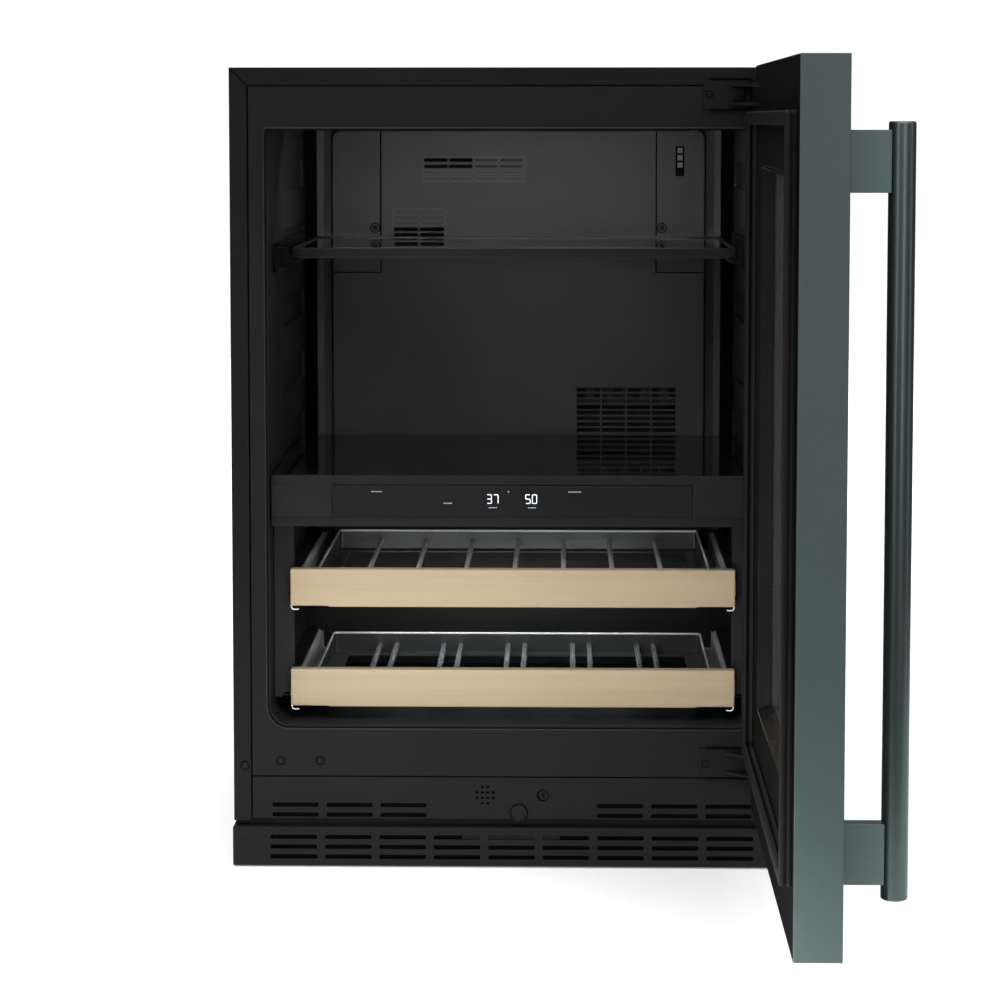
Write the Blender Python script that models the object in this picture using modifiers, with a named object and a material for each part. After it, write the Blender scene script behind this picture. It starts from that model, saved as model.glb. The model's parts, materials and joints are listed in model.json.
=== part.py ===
"""Undercounter wine cooler, open by a quarter turn of its door, as an assembly of separate pieces.

Cabinet frame, in metres: x = 0 is the cabinet's centre with +X to the right, y = 0 is the front
plane of the outer wrapper with +Y going into the cabinet, and z = 0 is the floor. One empty moves
that frame so that the origin is under the middle of the whole object. The door is drawn shut, and
an empty on its hinge axis turns it open.
"""

import math

import bmesh
import bpy
from mathutils import Matrix, Vector

# Cabinet
HALF_WIDTH = 0.303
TOP = 0.867
DEPTH = 0.540
SHELL_BOTTOM = 0.049
SHEET = 0.0015  # folded steel
FLANGE = 0.019  # front return of the wrapper
GAP = 0.0004  # left between pieces that touch
PAST = 0.010  # how far a cutter runs past what it cuts

# Storage space, inside the plastic liner
LINER_WALL = 0.0025
IN_X = 0.264
IN_FLOOR = 0.1526
IN_TOP = 0.8005
IN_BACK = 0.492
IN_CORNER = 0.022
HUMP_Y = 0.3975  # the compressor's bay pushes a step into the lower rear of the space
HUMP_Z = 0.2375
WELL_X = 0.226  # recess in the rear wall that holds the evaporator
WELL_Z = (0.450, 0.790)
WELL_BACK = 0.512
POCKET_TOPS = [0.762 - 0.077 * row for row in range(5)]
POCKET_HEIGHT = 0.033
POCKET_Y = (0.190, 0.470)
POCKET_DEPTH = 0.004

# Front
FRAME_X = HALF_WIDTH - FLANGE - GAP
FRAME_Z = (0.0984, TOP - FLANGE - GAP)
OPENING_X = 0.265
PANEL_Z = (0.0513, 0.0980)
TOE_X = 0.3037
TOE_Y = (-0.0080, -0.0052)
TOE_Z = (0.0014, 0.0440)
TOE_SLOTS = {"x": (-0.2372, 0.0593, 9), "z": (0.0330, -0.0109, 3), "size": (0.0504, 0.0047)}
PANEL_SLOTS = {"x": (0.118, 0.059, 3), "z": (0.0664, -0.0109, 2), "size": (0.0500, 0.0047)}
BUTTON_X, BUTTON_Z, BUTTON_R = 0.008, 0.0588, 0.0092
LOCK_X, LOCK_Z, LOCK_R = 0.034, 0.078, 0.0065
SPEAKER_X, SPEAKER_PITCH, SPEAKER_HOLE_R = -0.029, 0.006, 0.0012
SPEAKER_ROWS = {0.087: 2, 0.081: 4, 0.075: 4, 0.069: 2}  # height: how many holes

# Feet
LEG_X = 0.280
LEG_Y = (0.020, 0.505)
PAD_R = 0.0205
STEM_R = 0.005

# Rear cover
COVER_Y = (0.472, 0.4905)
COVER_FRONT_X, COVER_BACK_X = 0.228, 0.2415
COVER_WALL = 0.0022
DUCT_X = (0.169, 0.245)
DUCT_BOTTOM = 0.6245
OUTLET_SLOTS = {"x": (-0.1015, 0.0310, 4), "z": (0.7620, -0.0075, 4), "size": (0.0285, 0.0042)}
INLET_SLOTS = {"x": (-0.1380, 0.0320, 2), "z": (0.6985, -0.0071, 6), "size": (0.0296, 0.0045)}
RETURN_SLOTS = {"x": (0.0866, 0.0309, 4), "z": (0.4795, -0.0071, 8), "size": (0.0290, 0.0048)}
SENSOR_X, SENSOR_Z = (0.1928, 0.2028), (0.7428, 0.7788)
SENSOR_SLOTS = {"x": (0.1978, 0.0, 1), "z": (0.7478, 0.0065, 5), "size": (0.0070, 0.0035)}
FAN_X, FAN_Y, FAN_Z, FAN_R = -0.055, 0.487, 0.725, 0.048

# Machine bay
BAY_Y = 0.4304
BAY_TOP = 0.205
BASE_TOP = 0.0516
COMPRESSOR = (0.150, 0.484)
CONDENSER_LO, CONDENSER_HI = (-0.270, 0.438), (-0.150, 0.530)
BAY_PARTS_TOP = 0.190
COOLING_FAN = (-0.1385, 0.484, 0.121)
COOLING_FAN_R = 0.037
COVER_SPLIT = 0.240  # between the rear panel and the machine bay's cover
COVER_SLOTS = {"x": (-0.205, 0.11833, 4), "z": (0.075, 0.020, 7), "size": (0.080, 0.006)}
INLET_X, INLET_Z = (0.238, 0.268), (0.120, 0.140)

# Divider and its control panel
DIVIDER_Z = (0.3722, 0.4204)
DIVIDER_Y = (0.0306, 0.4450)
PANEL_HALF = 0.1954
BEZEL_HALF = 0.2620

# Glass shelf
SHELF_X = 0.2463
SHELF_Y = (0.113, 0.445)
SHELF_Z = (0.6580, 0.6696)

# Racks: the wood front's lower edge, the tray's rear wall, the rear end of the rails, and the bars
FRONT_X = 0.2440
FRONT_Y = (0.0420, 0.0570)
FRONT_HEIGHT = 0.042
TRAY_X = 0.2205
TRAY_Y = 0.0574
RACKS = {
    "upper": {"z": 0.278, "rear": 0.446, "rail": 0.460, "channel": 0.455},
    "lower": {"z": 0.167, "rear": 0.350, "rail": 0.388, "channel": 0.391},
}
UPPER_BARS = [0.056 * k for k in range(-3, 4)]
LOWER_BARS = [0.077 * k + side * 0.010 for k in range(-2, 3) for side in (-1, 1)]
# Channel sections: flange tips, web and back from the centre, then bottom and top over the rack's z
FIXED_CHANNEL = (0.2400, 0.2530, 0.2552, 0.0085, 0.0305)
MIDDLE_CHANNEL = (0.2385, 0.2440, 0.2458, 0.0105, 0.0285)
UPRIGHT_Y = (0.0580, 0.0620)  # notched for the channels that slide through it

# Door, drawn shut: x from the free edge to the hinge edge, y from the outer to the inner face
DOOR_X = (-0.300, 0.300)
DOOR_Y = (-0.056, -0.012)
DOOR_Z = (0.0695, 0.8685)
HINGE = Vector((0.2832, -0.0365, 0.0))
HINGE_PIN_R = 0.004
WINDOW_X = 0.195
WINDOW_Z = (0.205, 0.756)
PANE_X = 0.2045
PANE_Z = (0.1955, 0.7655)
PANE_Y = {"outer": (-0.0541, -0.0501), "inner": (-0.0300, -0.0260)}
GASKET_X = (0.270, 0.284)
GASKET_Z = ((0.147, 0.806), (0.133, 0.820))
HINGE_POCKETS = {"top": (0.8225, 0.8535), "bottom": (0.0995, 0.1315)}
BAR_X = -0.262
BAR_Y = DOOR_Y[0] - 0.0485
BAR_R = 0.0125
BAR_Z = (0.118, 0.810)
POST_Z = {"top": 0.775, "bottom": 0.160}
POST_HALF = (0.0085, 0.0275)

COLOURS = {  # linear base colour, roughness, metallic
    "black_steel": ((0.018, 0.018, 0.019), 0.45, 0.0),
    "black_plastic": ((0.016, 0.016, 0.017), 0.50, 0.0),
    "grey_plastic": ((0.030, 0.030, 0.032), 0.55, 0.0),
    "bare_steel": ((0.40, 0.40, 0.41), 0.40, 1.0),
    "copper": ((0.60, 0.27, 0.14), 0.35, 1.0),
    "aluminium": ((0.60, 0.60, 0.62), 0.40, 1.0),
    "foam": ((0.75, 0.66, 0.45), 0.90, 0.0),
    "rubber": ((0.012, 0.012, 0.012), 0.80, 0.0),
    "wood": ((0.60, 0.46, 0.30), 0.55, 0.0),
    "green_metal": ((0.075, 0.118, 0.112), 0.35, 0.6),
    "glass": ((0.10, 0.12, 0.12), 0.05, 0.0),
}


# Shapes: each function returns another that adds the shape to a bmesh


def block(lo, hi, soften=None):
    """A box between two corners. soften = (axis index, radius, segments, wanted) rounds the edges
    along that axis whose middle point passes the test wanted."""
    lo, hi = Vector(lo), Vector(hi)

    def add(bm):
        size = Matrix.Diagonal((*(hi - lo), 1.0))
        made = bmesh.ops.create_cube(bm, size=1.0, matrix=Matrix.Translation((lo + hi) / 2) @ size)
        if soften:
            round_edges(bm, made["verts"], *soften)

    return add


def round_edges(bm, verts, axis, radius, segments, wanted):
    chosen = []
    for edge in {e for v in verts for e in v.link_edges}:
        along = edge.verts[1].co - edge.verts[0].co
        if abs(along[axis]) > 0.5 * along.length and wanted((edge.verts[0].co + edge.verts[1].co) / 2):
            chosen.append(edge)
    bmesh.ops.bevel(bm, geom=chosen, offset=radius, segments=segments, profile=0.5, affect="EDGES")


def everywhere(point):
    return True


def rod(start, end, radius, sides=16):
    """A cylinder between two points."""
    start, end = Vector(start), Vector(end)

    def add(bm):
        along = end - start
        turn = along.to_track_quat("Z", "Y").to_matrix().to_4x4()
        bmesh.ops.create_cone(
            bm,
            cap_ends=True,
            segments=sides,
            radius1=radius,
            radius2=radius,
            depth=along.length,
            matrix=Matrix.Translation((start + end) / 2) @ turn,
        )

    return add


def taper(front, back, y_front, y_back, corner):
    """A block whose front and back rectangles differ, with its two upper corners rounded.
    front and back are (half width, bottom, top)."""

    def add(bm):
        made = bmesh.ops.create_cube(bm, size=1.0)
        for vert in made["verts"]:
            half, bottom, top = front if vert.co.y < 0 else back
            side, height = (math.copysign(half, vert.co.x), top if vert.co.z > 0 else bottom)
            vert.co = (side, y_front if vert.co.y < 0 else y_back, height)
        round_edges(bm, made["verts"], 1, corner, 4, lambda point: point.z > (front[1] + front[2]) / 2)

    return add


def spaced(start, step, count):
    return [start + step * k for k in range(count)]


def slot_grid(grid, y_lo, y_hi, sides=(1,)):
    """Rectangular holes cut along Y, centred on each column and row of a grid, and mirrored if
    sides has -1 as well."""
    width, height = grid["size"]
    return [
        block((x - width / 2, y_lo, z - height / 2), (x + width / 2, y_hi, z + height / 2))
        for x in (side * x for side in sides for x in spaced(*grid["x"]))
        for z in spaced(*grid["z"])
    ]


def front_hole(x, z, radius, sides):
    """A round hole cut along Y through a front panel."""
    return rod((x, -PAST, z), (x, PAST, z), radius, sides)


def mirrored(sign, lo, hi):
    """The block between two corners given for the right side, or its mirror on the left."""
    ends = sorted((sign * lo[0], sign * hi[0]))
    return block((ends[0], *lo[1:]), (ends[1], *hi[1:]))


# Objects


def clear_scene():
    for obj in list(bpy.data.objects):
        bpy.data.objects.remove(obj)


def new_collection(name, helper=False):
    found = bpy.data.collections.new(name)
    bpy.context.scene.collection.children.link(found)
    found.hide_render = helper
    return found


def material(name):
    found = bpy.data.materials.get(name)
    if found:
        return found
    colour, roughness, metallic = COLOURS[name]
    found = bpy.data.materials.new(name)
    found.use_nodes = True
    shader = found.node_tree.nodes["Principled BSDF"]
    shader.inputs["Base Color"].default_value = (*colour, 1.0)
    shader.inputs["Roughness"].default_value = roughness
    shader.inputs["Metallic"].default_value = metallic
    return found


def mesh_of(shapes, name):
    bm = bmesh.new()
    for shape in shapes:
        shape(bm)
    mesh = bpy.data.meshes.new(name)
    bm.to_mesh(mesh)
    bm.free()
    return mesh


def put(obj, parent, collection):
    """Parents an object drawn in the cabinet's frame, with its origin at its own middle."""
    if obj.type == "MESH" and len(obj.data.vertices):
        points = [v.co for v in obj.data.vertices]
        middle = Vector([(min(p[i] for p in points) + max(p[i] for p in points)) / 2 for i in range(3)])
        obj.data.transform(Matrix.Translation(-middle))
        obj.location = middle - Vector(parent["drawn_at"])
    obj.parent = parent
    collection.objects.link(obj)


def make(name, base, finish, parent, joins=(), cuts=(), bevel=0.0):
    """One piece: a base shape, with the joins added to it and then each group of cuts taken out."""
    obj = bpy.data.objects.new(name, mesh_of([base], name))
    put(obj, parent, PARTS)
    obj.data.materials.append(material(finish))
    steps = [("UNION", [shape]) for shape in joins] + [("DIFFERENCE", group) for group in cuts]
    for number, (operation, shapes) in enumerate(steps):
        carve(obj, f"{name}_{operation.lower()}_{number}", operation, shapes, parent)
    if bevel:
        edge = obj.modifiers.new("Edges", "BEVEL")
        edge.width = bevel
        edge.segments = 1
        edge.limit_method = "ANGLE"
    return obj


def carve(obj, name, operation, shapes, parent):
    cutter = bpy.data.objects.new(name, mesh_of(shapes, name))
    cutter.display_type = "WIRE"
    cutter.hide_render = True
    put(cutter, parent, CUTTERS)
    step = obj.modifiers.new(name, "BOOLEAN")
    step.operation = operation
    step.solver = "EXACT"
    step.object = cutter


def turned(name, profile, at, finish, parent, steps=20, axis="Z"):
    """A profile of (radius, height) pairs, from the top down, spun about an axis through at."""
    mesh = bpy.data.meshes.new(name)
    edges = [(i, i + 1) for i in range(len(profile) - 1)]
    mesh.from_pydata([(radius, 0.0, height) for radius, height in profile], edges, [])
    obj = bpy.data.objects.new(name, mesh)
    spin = obj.modifiers.new("Spin", "SCREW")
    spin.steps = spin.render_steps = steps
    spin.use_merge_vertices = True
    spin.merge_threshold = 0.00001
    obj.location = Vector(at) - Vector(parent["drawn_at"])
    obj.rotation_euler = {"Z": (0, 0, 0), "-Y": (math.pi / 2, 0, 0)}[axis]
    obj.parent = parent
    obj.data.materials.append(material(finish))
    PARTS.objects.link(obj)
    return obj


def empty(name, at, parent=None, turn=0.0):
    """A joint's frame. Children are drawn in the cabinet's frame, and drawn_at says where it is."""
    obj = bpy.data.objects.new(name, None)
    obj.location = Vector(at) - (Vector(parent["drawn_at"]) if parent else Vector())
    obj.rotation_euler.z = turn
    obj.parent = parent
    obj["drawn_at"] = tuple(at)
    PARTS.objects.link(obj)
    return obj


# Cabinet shell


def outer_wrapper(cabinet):
    inside = block(
        (-HALF_WIDTH + SHEET, SHEET, SHELL_BOTTOM - PAST), (HALF_WIDTH - SHEET, DEPTH + PAST, TOP - SHEET)
    )
    front = block(
        (-HALF_WIDTH + FLANGE, -PAST, SHELL_BOTTOM - PAST), (HALF_WIDTH - FLANGE, PAST, TOP - FLANGE)
    )
    whole = block((-HALF_WIDTH, 0, SHELL_BOTTOM), (HALF_WIDTH, DEPTH, TOP))
    make("outer_wrapper", whole, "black_steel", cabinet, cuts=[[inside], [front]])


def rear_panels(cabinet):
    half = HALF_WIDTH - SHEET - GAP
    plate = block((-half, DEPTH - SHEET, COVER_SPLIT + GAP), (half, DEPTH, TOP - SHEET - GAP))
    make("rear_panel", plate, "bare_steel", cabinet)
    lower = block((-half, DEPTH - SHEET, SHELL_BOTTOM), (half, DEPTH, COVER_SPLIT))
    slots = slot_grid(COVER_SLOTS, DEPTH - PAST, DEPTH + PAST)
    (x_lo, x_hi), (z_lo, z_hi) = INLET_X, INLET_Z
    inlet = block(
        (x_lo - GAP, DEPTH - PAST, z_lo - GAP), (x_hi + GAP, DEPTH + PAST, z_hi + GAP)
    )
    make("machine_cover", lower, "bare_steel", cabinet, cuts=[slots + [inlet]])
    wall = 0.003
    body = block((x_lo, DEPTH - 0.025, z_lo), (x_hi, DEPTH, z_hi))
    recess = block(
        (x_lo + wall, DEPTH - 0.014, z_lo + wall), (x_hi - wall, DEPTH + PAST, z_hi - wall)
    )
    make("power_inlet", body, "black_plastic", cabinet, cuts=[[recess]])


def base_pan(cabinet):
    half = HALF_WIDTH - SHEET - GAP
    lip = 0.0635
    tray = block((-half, 0.0112, SHELL_BOTTOM), (half, DEPTH - SHEET - GAP, lip))
    hollow = block((-half + SHEET, 0.0127, BASE_TOP), (half - SHEET, 0.5366, lip + PAST))
    holes = [
        rod((x, y, SHELL_BOTTOM - PAST), (x, y, BASE_TOP + PAST), STEM_R + GAP)
        for x in (-LEG_X, LEG_X)
        for y in LEG_Y
    ]
    make("base_pan", tray, "bare_steel", cabinet, cuts=[[hollow], holes])


def liner_pockets(grow, inner):
    """The shelf pockets in the liner's side walls, five on each side."""
    reach = IN_X + POCKET_DEPTH + grow
    return [
        mirrored(
            sign,
            (inner, POCKET_Y[0] - grow, top - POCKET_HEIGHT - grow),
            (reach, POCKET_Y[1] + grow, top + grow),
        )
        for sign in (-1, 1)
        for top in POCKET_TOPS
    ]


def inner_liner(cabinet):
    wall = LINER_WALL
    low = IN_FLOOR - wall
    whole = block((-IN_X - wall, 0.0105, low), (IN_X + wall, IN_BACK + wall, IN_TOP + wall))
    well = block(
        (-WELL_X - wall, IN_BACK, WELL_Z[0] - wall), (WELL_X + wall, WELL_BACK + wall, WELL_Z[1] + wall)
    )
    bay = block(
        (-IN_X - PAST, HUMP_Y + wall, low - PAST), (IN_X + PAST, IN_BACK + PAST, HUMP_Z - wall)
    )
    floor_corners = (1, IN_CORNER, 5, lambda point: point.z < IN_FLOOR + 0.001)
    low_space = block((-IN_X, -PAST, IN_FLOOR), (IN_X, HUMP_Y, HUMP_Z + PAST), floor_corners)
    high_space = block((-IN_X, -PAST, HUMP_Z), (IN_X, IN_BACK, IN_TOP))
    well_space = block((-WELL_X, IN_BACK - PAST, WELL_Z[0]), (WELL_X, WELL_BACK, WELL_Z[1]))
    make(
        "inner_liner",
        whole,
        "black_plastic",
        cabinet,
        joins=[well] + liner_pockets(wall, IN_X),
        cuts=[[bay], [low_space], [high_space], [well_space] + liner_pockets(0.0, IN_X - PAST)],
    )


def foam_insulation(cabinet):
    half = HALF_WIDTH - SHEET - GAP
    clear = LINER_WALL + GAP
    whole = block((-half, 0.0109, 0.1055), (half, DEPTH - SHEET - GAP, TOP - SHEET - GAP))
    low = block(
        (-IN_X - clear, -PAST, IN_FLOOR - clear), (IN_X + clear, HUMP_Y + clear, IN_TOP + clear)
    )
    high = block(
        (-IN_X - clear, HUMP_Y, HUMP_Z - clear), (IN_X + clear, IN_BACK + clear, IN_TOP + clear)
    )
    well = block(
        (-WELL_X - clear, IN_BACK, WELL_Z[0] - clear), (WELL_X + clear, WELL_BACK + clear, WELL_Z[1] + clear)
    )
    bay = block((-HALF_WIDTH, BAY_Y, 0.100), (HALF_WIDTH, DEPTH, BAY_TOP))
    pockets = liner_pockets(clear, IN_X)
    make("foam_insulation", whole, "foam", cabinet, cuts=[[low], [high], [well], [bay], pockets])


def front_frame(cabinet):
    whole = block((-FRAME_X, 0.0006, FRAME_Z[0]), (FRAME_X, 0.0101, FRAME_Z[1]))
    floor_corners = (1, IN_CORNER, 5, lambda point: point.z < IN_FLOOR + 0.001)
    opening = block((-OPENING_X, -PAST, IN_FLOOR), (OPENING_X, 2 * PAST, IN_TOP), floor_corners)
    make("front_frame", whole, "black_plastic", cabinet, cuts=[[opening]])


def lower_panel(cabinet):
    y_lo, y_hi = 0.0012, 0.0040
    plate = block((-FRAME_X, y_lo, PANEL_Z[0]), (FRAME_X, y_hi, PANEL_Z[1]))
    slots = slot_grid(PANEL_SLOTS, -PAST, PAST, sides=(-1, 1))
    holes = [
        front_hole(BUTTON_X, BUTTON_Z, BUTTON_R + GAP, 24),
        front_hole(LOCK_X, LOCK_Z, LOCK_R, 16),
    ]
    speaker = [
        front_hole(SPEAKER_X + SPEAKER_PITCH * (k - (count - 1) / 2), z, SPEAKER_HOLE_R, 6)
        for z, count in SPEAKER_ROWS.items()
        for k in range(count)
    ]
    make("lower_panel", plate, "black_plastic", cabinet, cuts=[slots, holes, speaker])
    power_button(cabinet)


def power_button(cabinet):
    """A cap that stands just proud of the panel, with a wider collar behind it."""
    cap, collar = BUTTON_R, BUTTON_R + 0.0018
    profile = [(0, 0.0010), (cap - 0.0008, 0.0010), (cap, 0.0002), (cap, -0.0046)]
    profile += [(collar, -0.0046), (collar, -0.0066), (0, -0.0066)]
    press = empty("button_axis", (BUTTON_X, 0, BUTTON_Z), cabinet)
    turned("power_button", profile, (BUTTON_X, 0, BUTTON_Z), "black_plastic", press, 24, "-Y")


def toe_grille(cabinet):
    plate = block((-TOE_X, TOE_Y[0], TOE_Z[0]), (TOE_X, TOE_Y[1], TOE_Z[1]))
    returns = [
        mirrored(sign, (TOE_X - SHEET, TOE_Y[0] + 0.001, TOE_Z[0]), (TOE_X, 0.030, TOE_Z[1]))
        for sign in (-1, 1)
    ]
    slots = slot_grid(TOE_SLOTS, -2 * PAST, 0.0)
    make("toe_grille", plate, "black_plastic", cabinet, joins=returns, cuts=[slots])


def leg(name, x, y, cabinet):
    axis = empty(f"{name}_axis", (x, y, 0), cabinet)
    profile = [(0, 0.085), (STEM_R, 0.085), (STEM_R, 0.016), (0.011, 0.014), (0.011, 0.008)]
    profile += [(PAD_R - 0.001, 0.007), (PAD_R, 0.006), (PAD_R, 0.001), (PAD_R - 0.001, 0), (0, 0)]
    turned(name, profile, (x, y, 0), "black_plastic", axis, 16)


# Cooling system


def cover_shell(grow):
    """The rear cover's outer form, or its hollow when grow is negative."""
    front = (COVER_FRONT_X + grow, 0.2385 - (0 if grow == 0 else PAST), 0.7945 + grow)
    back = (COVER_BACK_X + grow, front[1], 0.7990 + grow)
    ends = (COVER_Y[0] - grow, COVER_Y[1] + (0 if grow == 0 else PAST / 10))
    return taper(front, back, *ends, 0.012)


def rear_cover(cabinet):
    """The cover over the evaporator, with its upper corners cut off as two side covers."""
    front_y = COVER_Y[0]
    hollow = cover_shell(-COVER_WALL)
    seams = [
        mirrored(
            sign,
            (DUCT_X[0] - GAP, front_y - PAST, DUCT_BOTTOM - GAP),
            (DUCT_X[1] + PAST, COVER_Y[1] + PAST, TOP),
        )
        for sign in (-1, 1)
    ]
    vents = [
        slot
        for grid in (OUTLET_SLOTS, INLET_SLOTS, RETURN_SLOTS)
        for slot in slot_grid(grid, front_y - PAST, front_y + PAST / 2)
    ]
    make("evaporator_cover", cover_shell(0), "grey_plastic", cabinet, cuts=[[hollow], seams, vents])
    (x_lo, x_hi), (z_lo, z_hi) = SENSOR_X, SENSOR_Z
    window = block(
        (x_lo - GAP, front_y - PAST, z_lo - GAP), (x_hi + GAP, front_y + PAST, z_hi + GAP)
    )
    for name, sign in (("left", -1), ("right", 1)):
        cuts = [[hollow]] + ([[window]] if name == "right" else [])
        piece = make(f"{name}_duct_cover", cover_shell(0), "grey_plastic", cabinet, cuts=cuts)
        side = mirrored(
            sign, (DUCT_X[0], front_y - PAST, DUCT_BOTTOM), (DUCT_X[1], COVER_Y[1] + PAST, TOP)
        )
        carve(piece, f"{name}_duct_region", "INTERSECT", [side], cabinet)
    insert = block((x_lo, front_y - 0.0008, z_lo), (x_hi, front_y + 0.0016, z_hi))
    louvres = slot_grid(SENSOR_SLOTS, front_y - PAST, front_y + PAST / 2)
    make("sensor_grille", insert, "black_plastic", cabinet, cuts=[louvres])


def evaporator_group(cabinet):
    (x_lo, y_lo, z_lo), (x_hi, y_hi, z_hi) = (-0.150, 0.480, 0.460), (0.215, 0.510, 0.630)
    gap, margin = 0.012, 0.008
    grooves = [
        block((x, y_lo - PAST, z_lo + margin), (x + gap, y_hi - PAST, z_hi - margin))
        for x in spaced(x_lo + 0.016, 0.0228, 15)
    ]
    whole = block((x_lo, y_lo, z_lo), (x_hi, y_hi, z_hi))
    make("evaporator", whole, "aluminium", cabinet, cuts=[grooves])
    back = WELL_BACK - 0.0006
    plate = block((FAN_X - 0.040, back - 0.0028, FAN_Z - 0.025), (FAN_X + 0.040, back, FAN_Z + 0.025))
    motor = rod((FAN_X, FAN_Y + 0.009, FAN_Z), (FAN_X, back - 0.0014, FAN_Z), 0.020, 20)
    make("evaporator_fan_motor", plate, "black_plastic", cabinet, joins=[motor])
    axis = empty("evaporator_fan_axis", (FAN_X, FAN_Y, FAN_Z), cabinet)
    fan("evaporator_fan_blade", axis, (FAN_X, FAN_Y, FAN_Z), 1, 0.014, FAN_R, 0.0070)


def fan(name, parent, centre, axis, hub, reach, half):
    """A hub and five flat pitched blades, turning about row axis 0 or 1."""
    centre = Vector(centre)
    out = Vector((1, 0, 0)) if axis == 0 else Vector((0, 1, 0))

    def blade(angle):
        def add(bm):
            spin = Matrix.Rotation(angle, 4, out)
            pitch = Matrix.Rotation(math.radians(28), 4, "Z")
            size = (2 * half * 0.8, 0.002, reach - hub * 0.7)
            if axis == 1:
                size = (0.020, 0.002, size[2])
            lift = Matrix.Translation((0, 0, hub * 0.7 + size[2] / 2))
            turn = Matrix.Translation(centre) @ spin @ lift @ pitch
            bmesh.ops.create_cube(bm, size=1.0, matrix=turn @ Matrix.Diagonal((*size, 1)))

        return add

    middle = rod(centre - out * half, centre + out * half, hub, 20)
    joins = [blade(2 * math.pi * k / 5) for k in range(5)]
    make(name, middle, "black_plastic", parent, joins=joins)


def compressor(cabinet):
    """A domed shell with a seam round its middle, on a plinth."""
    plinth = BASE_TOP + GAP
    profile = [(0, 0.196), (0.022, 0.193), (0.040, 0.180), (0.047, 0.162), (0.048, 0.128)]
    profile += [(0.050, 0.126), (0.050, 0.119), (0.048, 0.117), (0.047, 0.085), (0.040, 0.066)]
    profile += [(0.030, 0.060), (0.030, plinth), (0, plinth)]
    turned("compressor", profile, (*COMPRESSOR, 0), "black_steel", cabinet, 24)


def condenser(cabinet):
    (x_lo, y_lo), (x_hi, y_hi) = CONDENSER_LO, CONDENSER_HI
    whole = block((x_lo, y_lo, BASE_TOP + GAP), (x_hi, y_hi, BAY_PARTS_TOP))
    slots = [
        block((x_lo - PAST, y_lo + PAST, z - 0.003), (x_hi + PAST, y_hi - PAST, z + 0.003))
        for z in spaced(0.062, 0.012, 11)
    ]
    make("condenser", whole, "copper", cabinet, cuts=[slots])


def cooling_fan(cabinet):
    """A plate with a round tunnel, and a strap across it that holds the motor."""
    x, y, z = COOLING_FAN
    y_lo, y_hi = 0.440, 0.528
    plate = block((x - 0.0015, y_lo, BASE_TOP + GAP), (x + 0.0015, y_hi, BAY_PARTS_TOP))
    strap_lo, strap_hi = x + 0.0200, x + 0.0230
    strap = block((strap_lo, y_lo + 0.001, z - 0.006), (strap_hi, y_hi - 0.001, z + 0.006))
    arms = [
        block((x + 0.001, start, z - 0.005), (strap_lo + 0.001, start + 0.003, z + 0.005))
        for start in (y_lo + 0.002, y_hi - 0.005)
    ]
    motor = rod((x + 0.0085, y, z), (strap_lo + 0.0015, y, z), 0.016, 16)
    tunnel = rod((x - PAST, y, z), (x + 0.005, y, z), COOLING_FAN_R + 0.003, 24)
    joins = [strap, motor] + arms
    make("condenser_fan_shroud", plate, "black_plastic", cabinet, joins=joins, cuts=[[tunnel]])
    axis = empty("condenser_fan_axis", COOLING_FAN, cabinet)
    fan("condenser_fan_blade", axis, COOLING_FAN, 0, 0.012, COOLING_FAN_R, 0.0060)


def base_boxes(cabinet):
    """The drain pan and the control box, which stand on the base pan in front of the bay."""
    wall = 0.002
    (x_lo, y_lo), (x_hi, y_hi) = (-0.200, 0.080), (0.120, 0.360)
    tray = block((x_lo, y_lo, BASE_TOP + GAP), (x_hi, y_hi, 0.0760))
    hollow = block(
        (x_lo + wall, y_lo + wall, BASE_TOP + GAP + wall), (x_hi - wall, y_hi - wall, 0.0860)
    )
    make("drain_pan", tray, "black_plastic", cabinet, cuts=[[hollow]])
    box = block((0.160, 0.060, BASE_TOP + GAP), (0.270, 0.200, 0.0920), (2, 0.004, 2, everywhere))
    groove = block((0.170, 0.070, 0.0905), (0.260, 0.190, 0.0950))
    make("control_box", box, "grey_plastic", cabinet, cuts=[[groove]])


# Divider and shelf


def divider(cabinet):
    half = IN_X - 2 * GAP
    (y_lo, y_hi), (z_lo, z_hi) = DIVIDER_Y, DIVIDER_Z
    wall = 0.003
    body = block((-half, y_lo, z_lo), (half, y_hi, z_hi))
    hollow = block(
        (-half + 2 * wall, y_lo + 2 * wall, z_lo + wall), (half - 2 * wall, y_hi + PAST, z_hi - wall)
    )
    make("divider_body", body, "black_plastic", cabinet, cuts=[[hollow]])
    glass = block((-BEZEL_HALF + GAP, 0.0240, 0.4210), (BEZEL_HALF - GAP, y_hi - GAP, 0.4262))
    make("divider_glass", glass, "glass", cabinet)
    back = y_lo - GAP
    panel = block((-PANEL_HALF, 0.0182, 0.3822), (PANEL_HALF, back, 0.4154))
    make("control_panel", panel, "black_plastic", cabinet)
    trim = block((-BEZEL_HALF, 0.0200, 0.4158), (BEZEL_HALF, 0.0236, 0.4264))
    ends = [
        mirrored(sign, (PANEL_HALF + GAP, 0.0190, 0.3810), (BEZEL_HALF, back, 0.4162))
        for sign in (-1, 1)
    ]
    ledge = block((-BEZEL_HALF, 0.0215, 0.3702), (BEZEL_HALF, back, 0.3818))
    make("panel_bezel", trim, "black_plastic", cabinet, joins=ends + [ledge])


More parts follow.
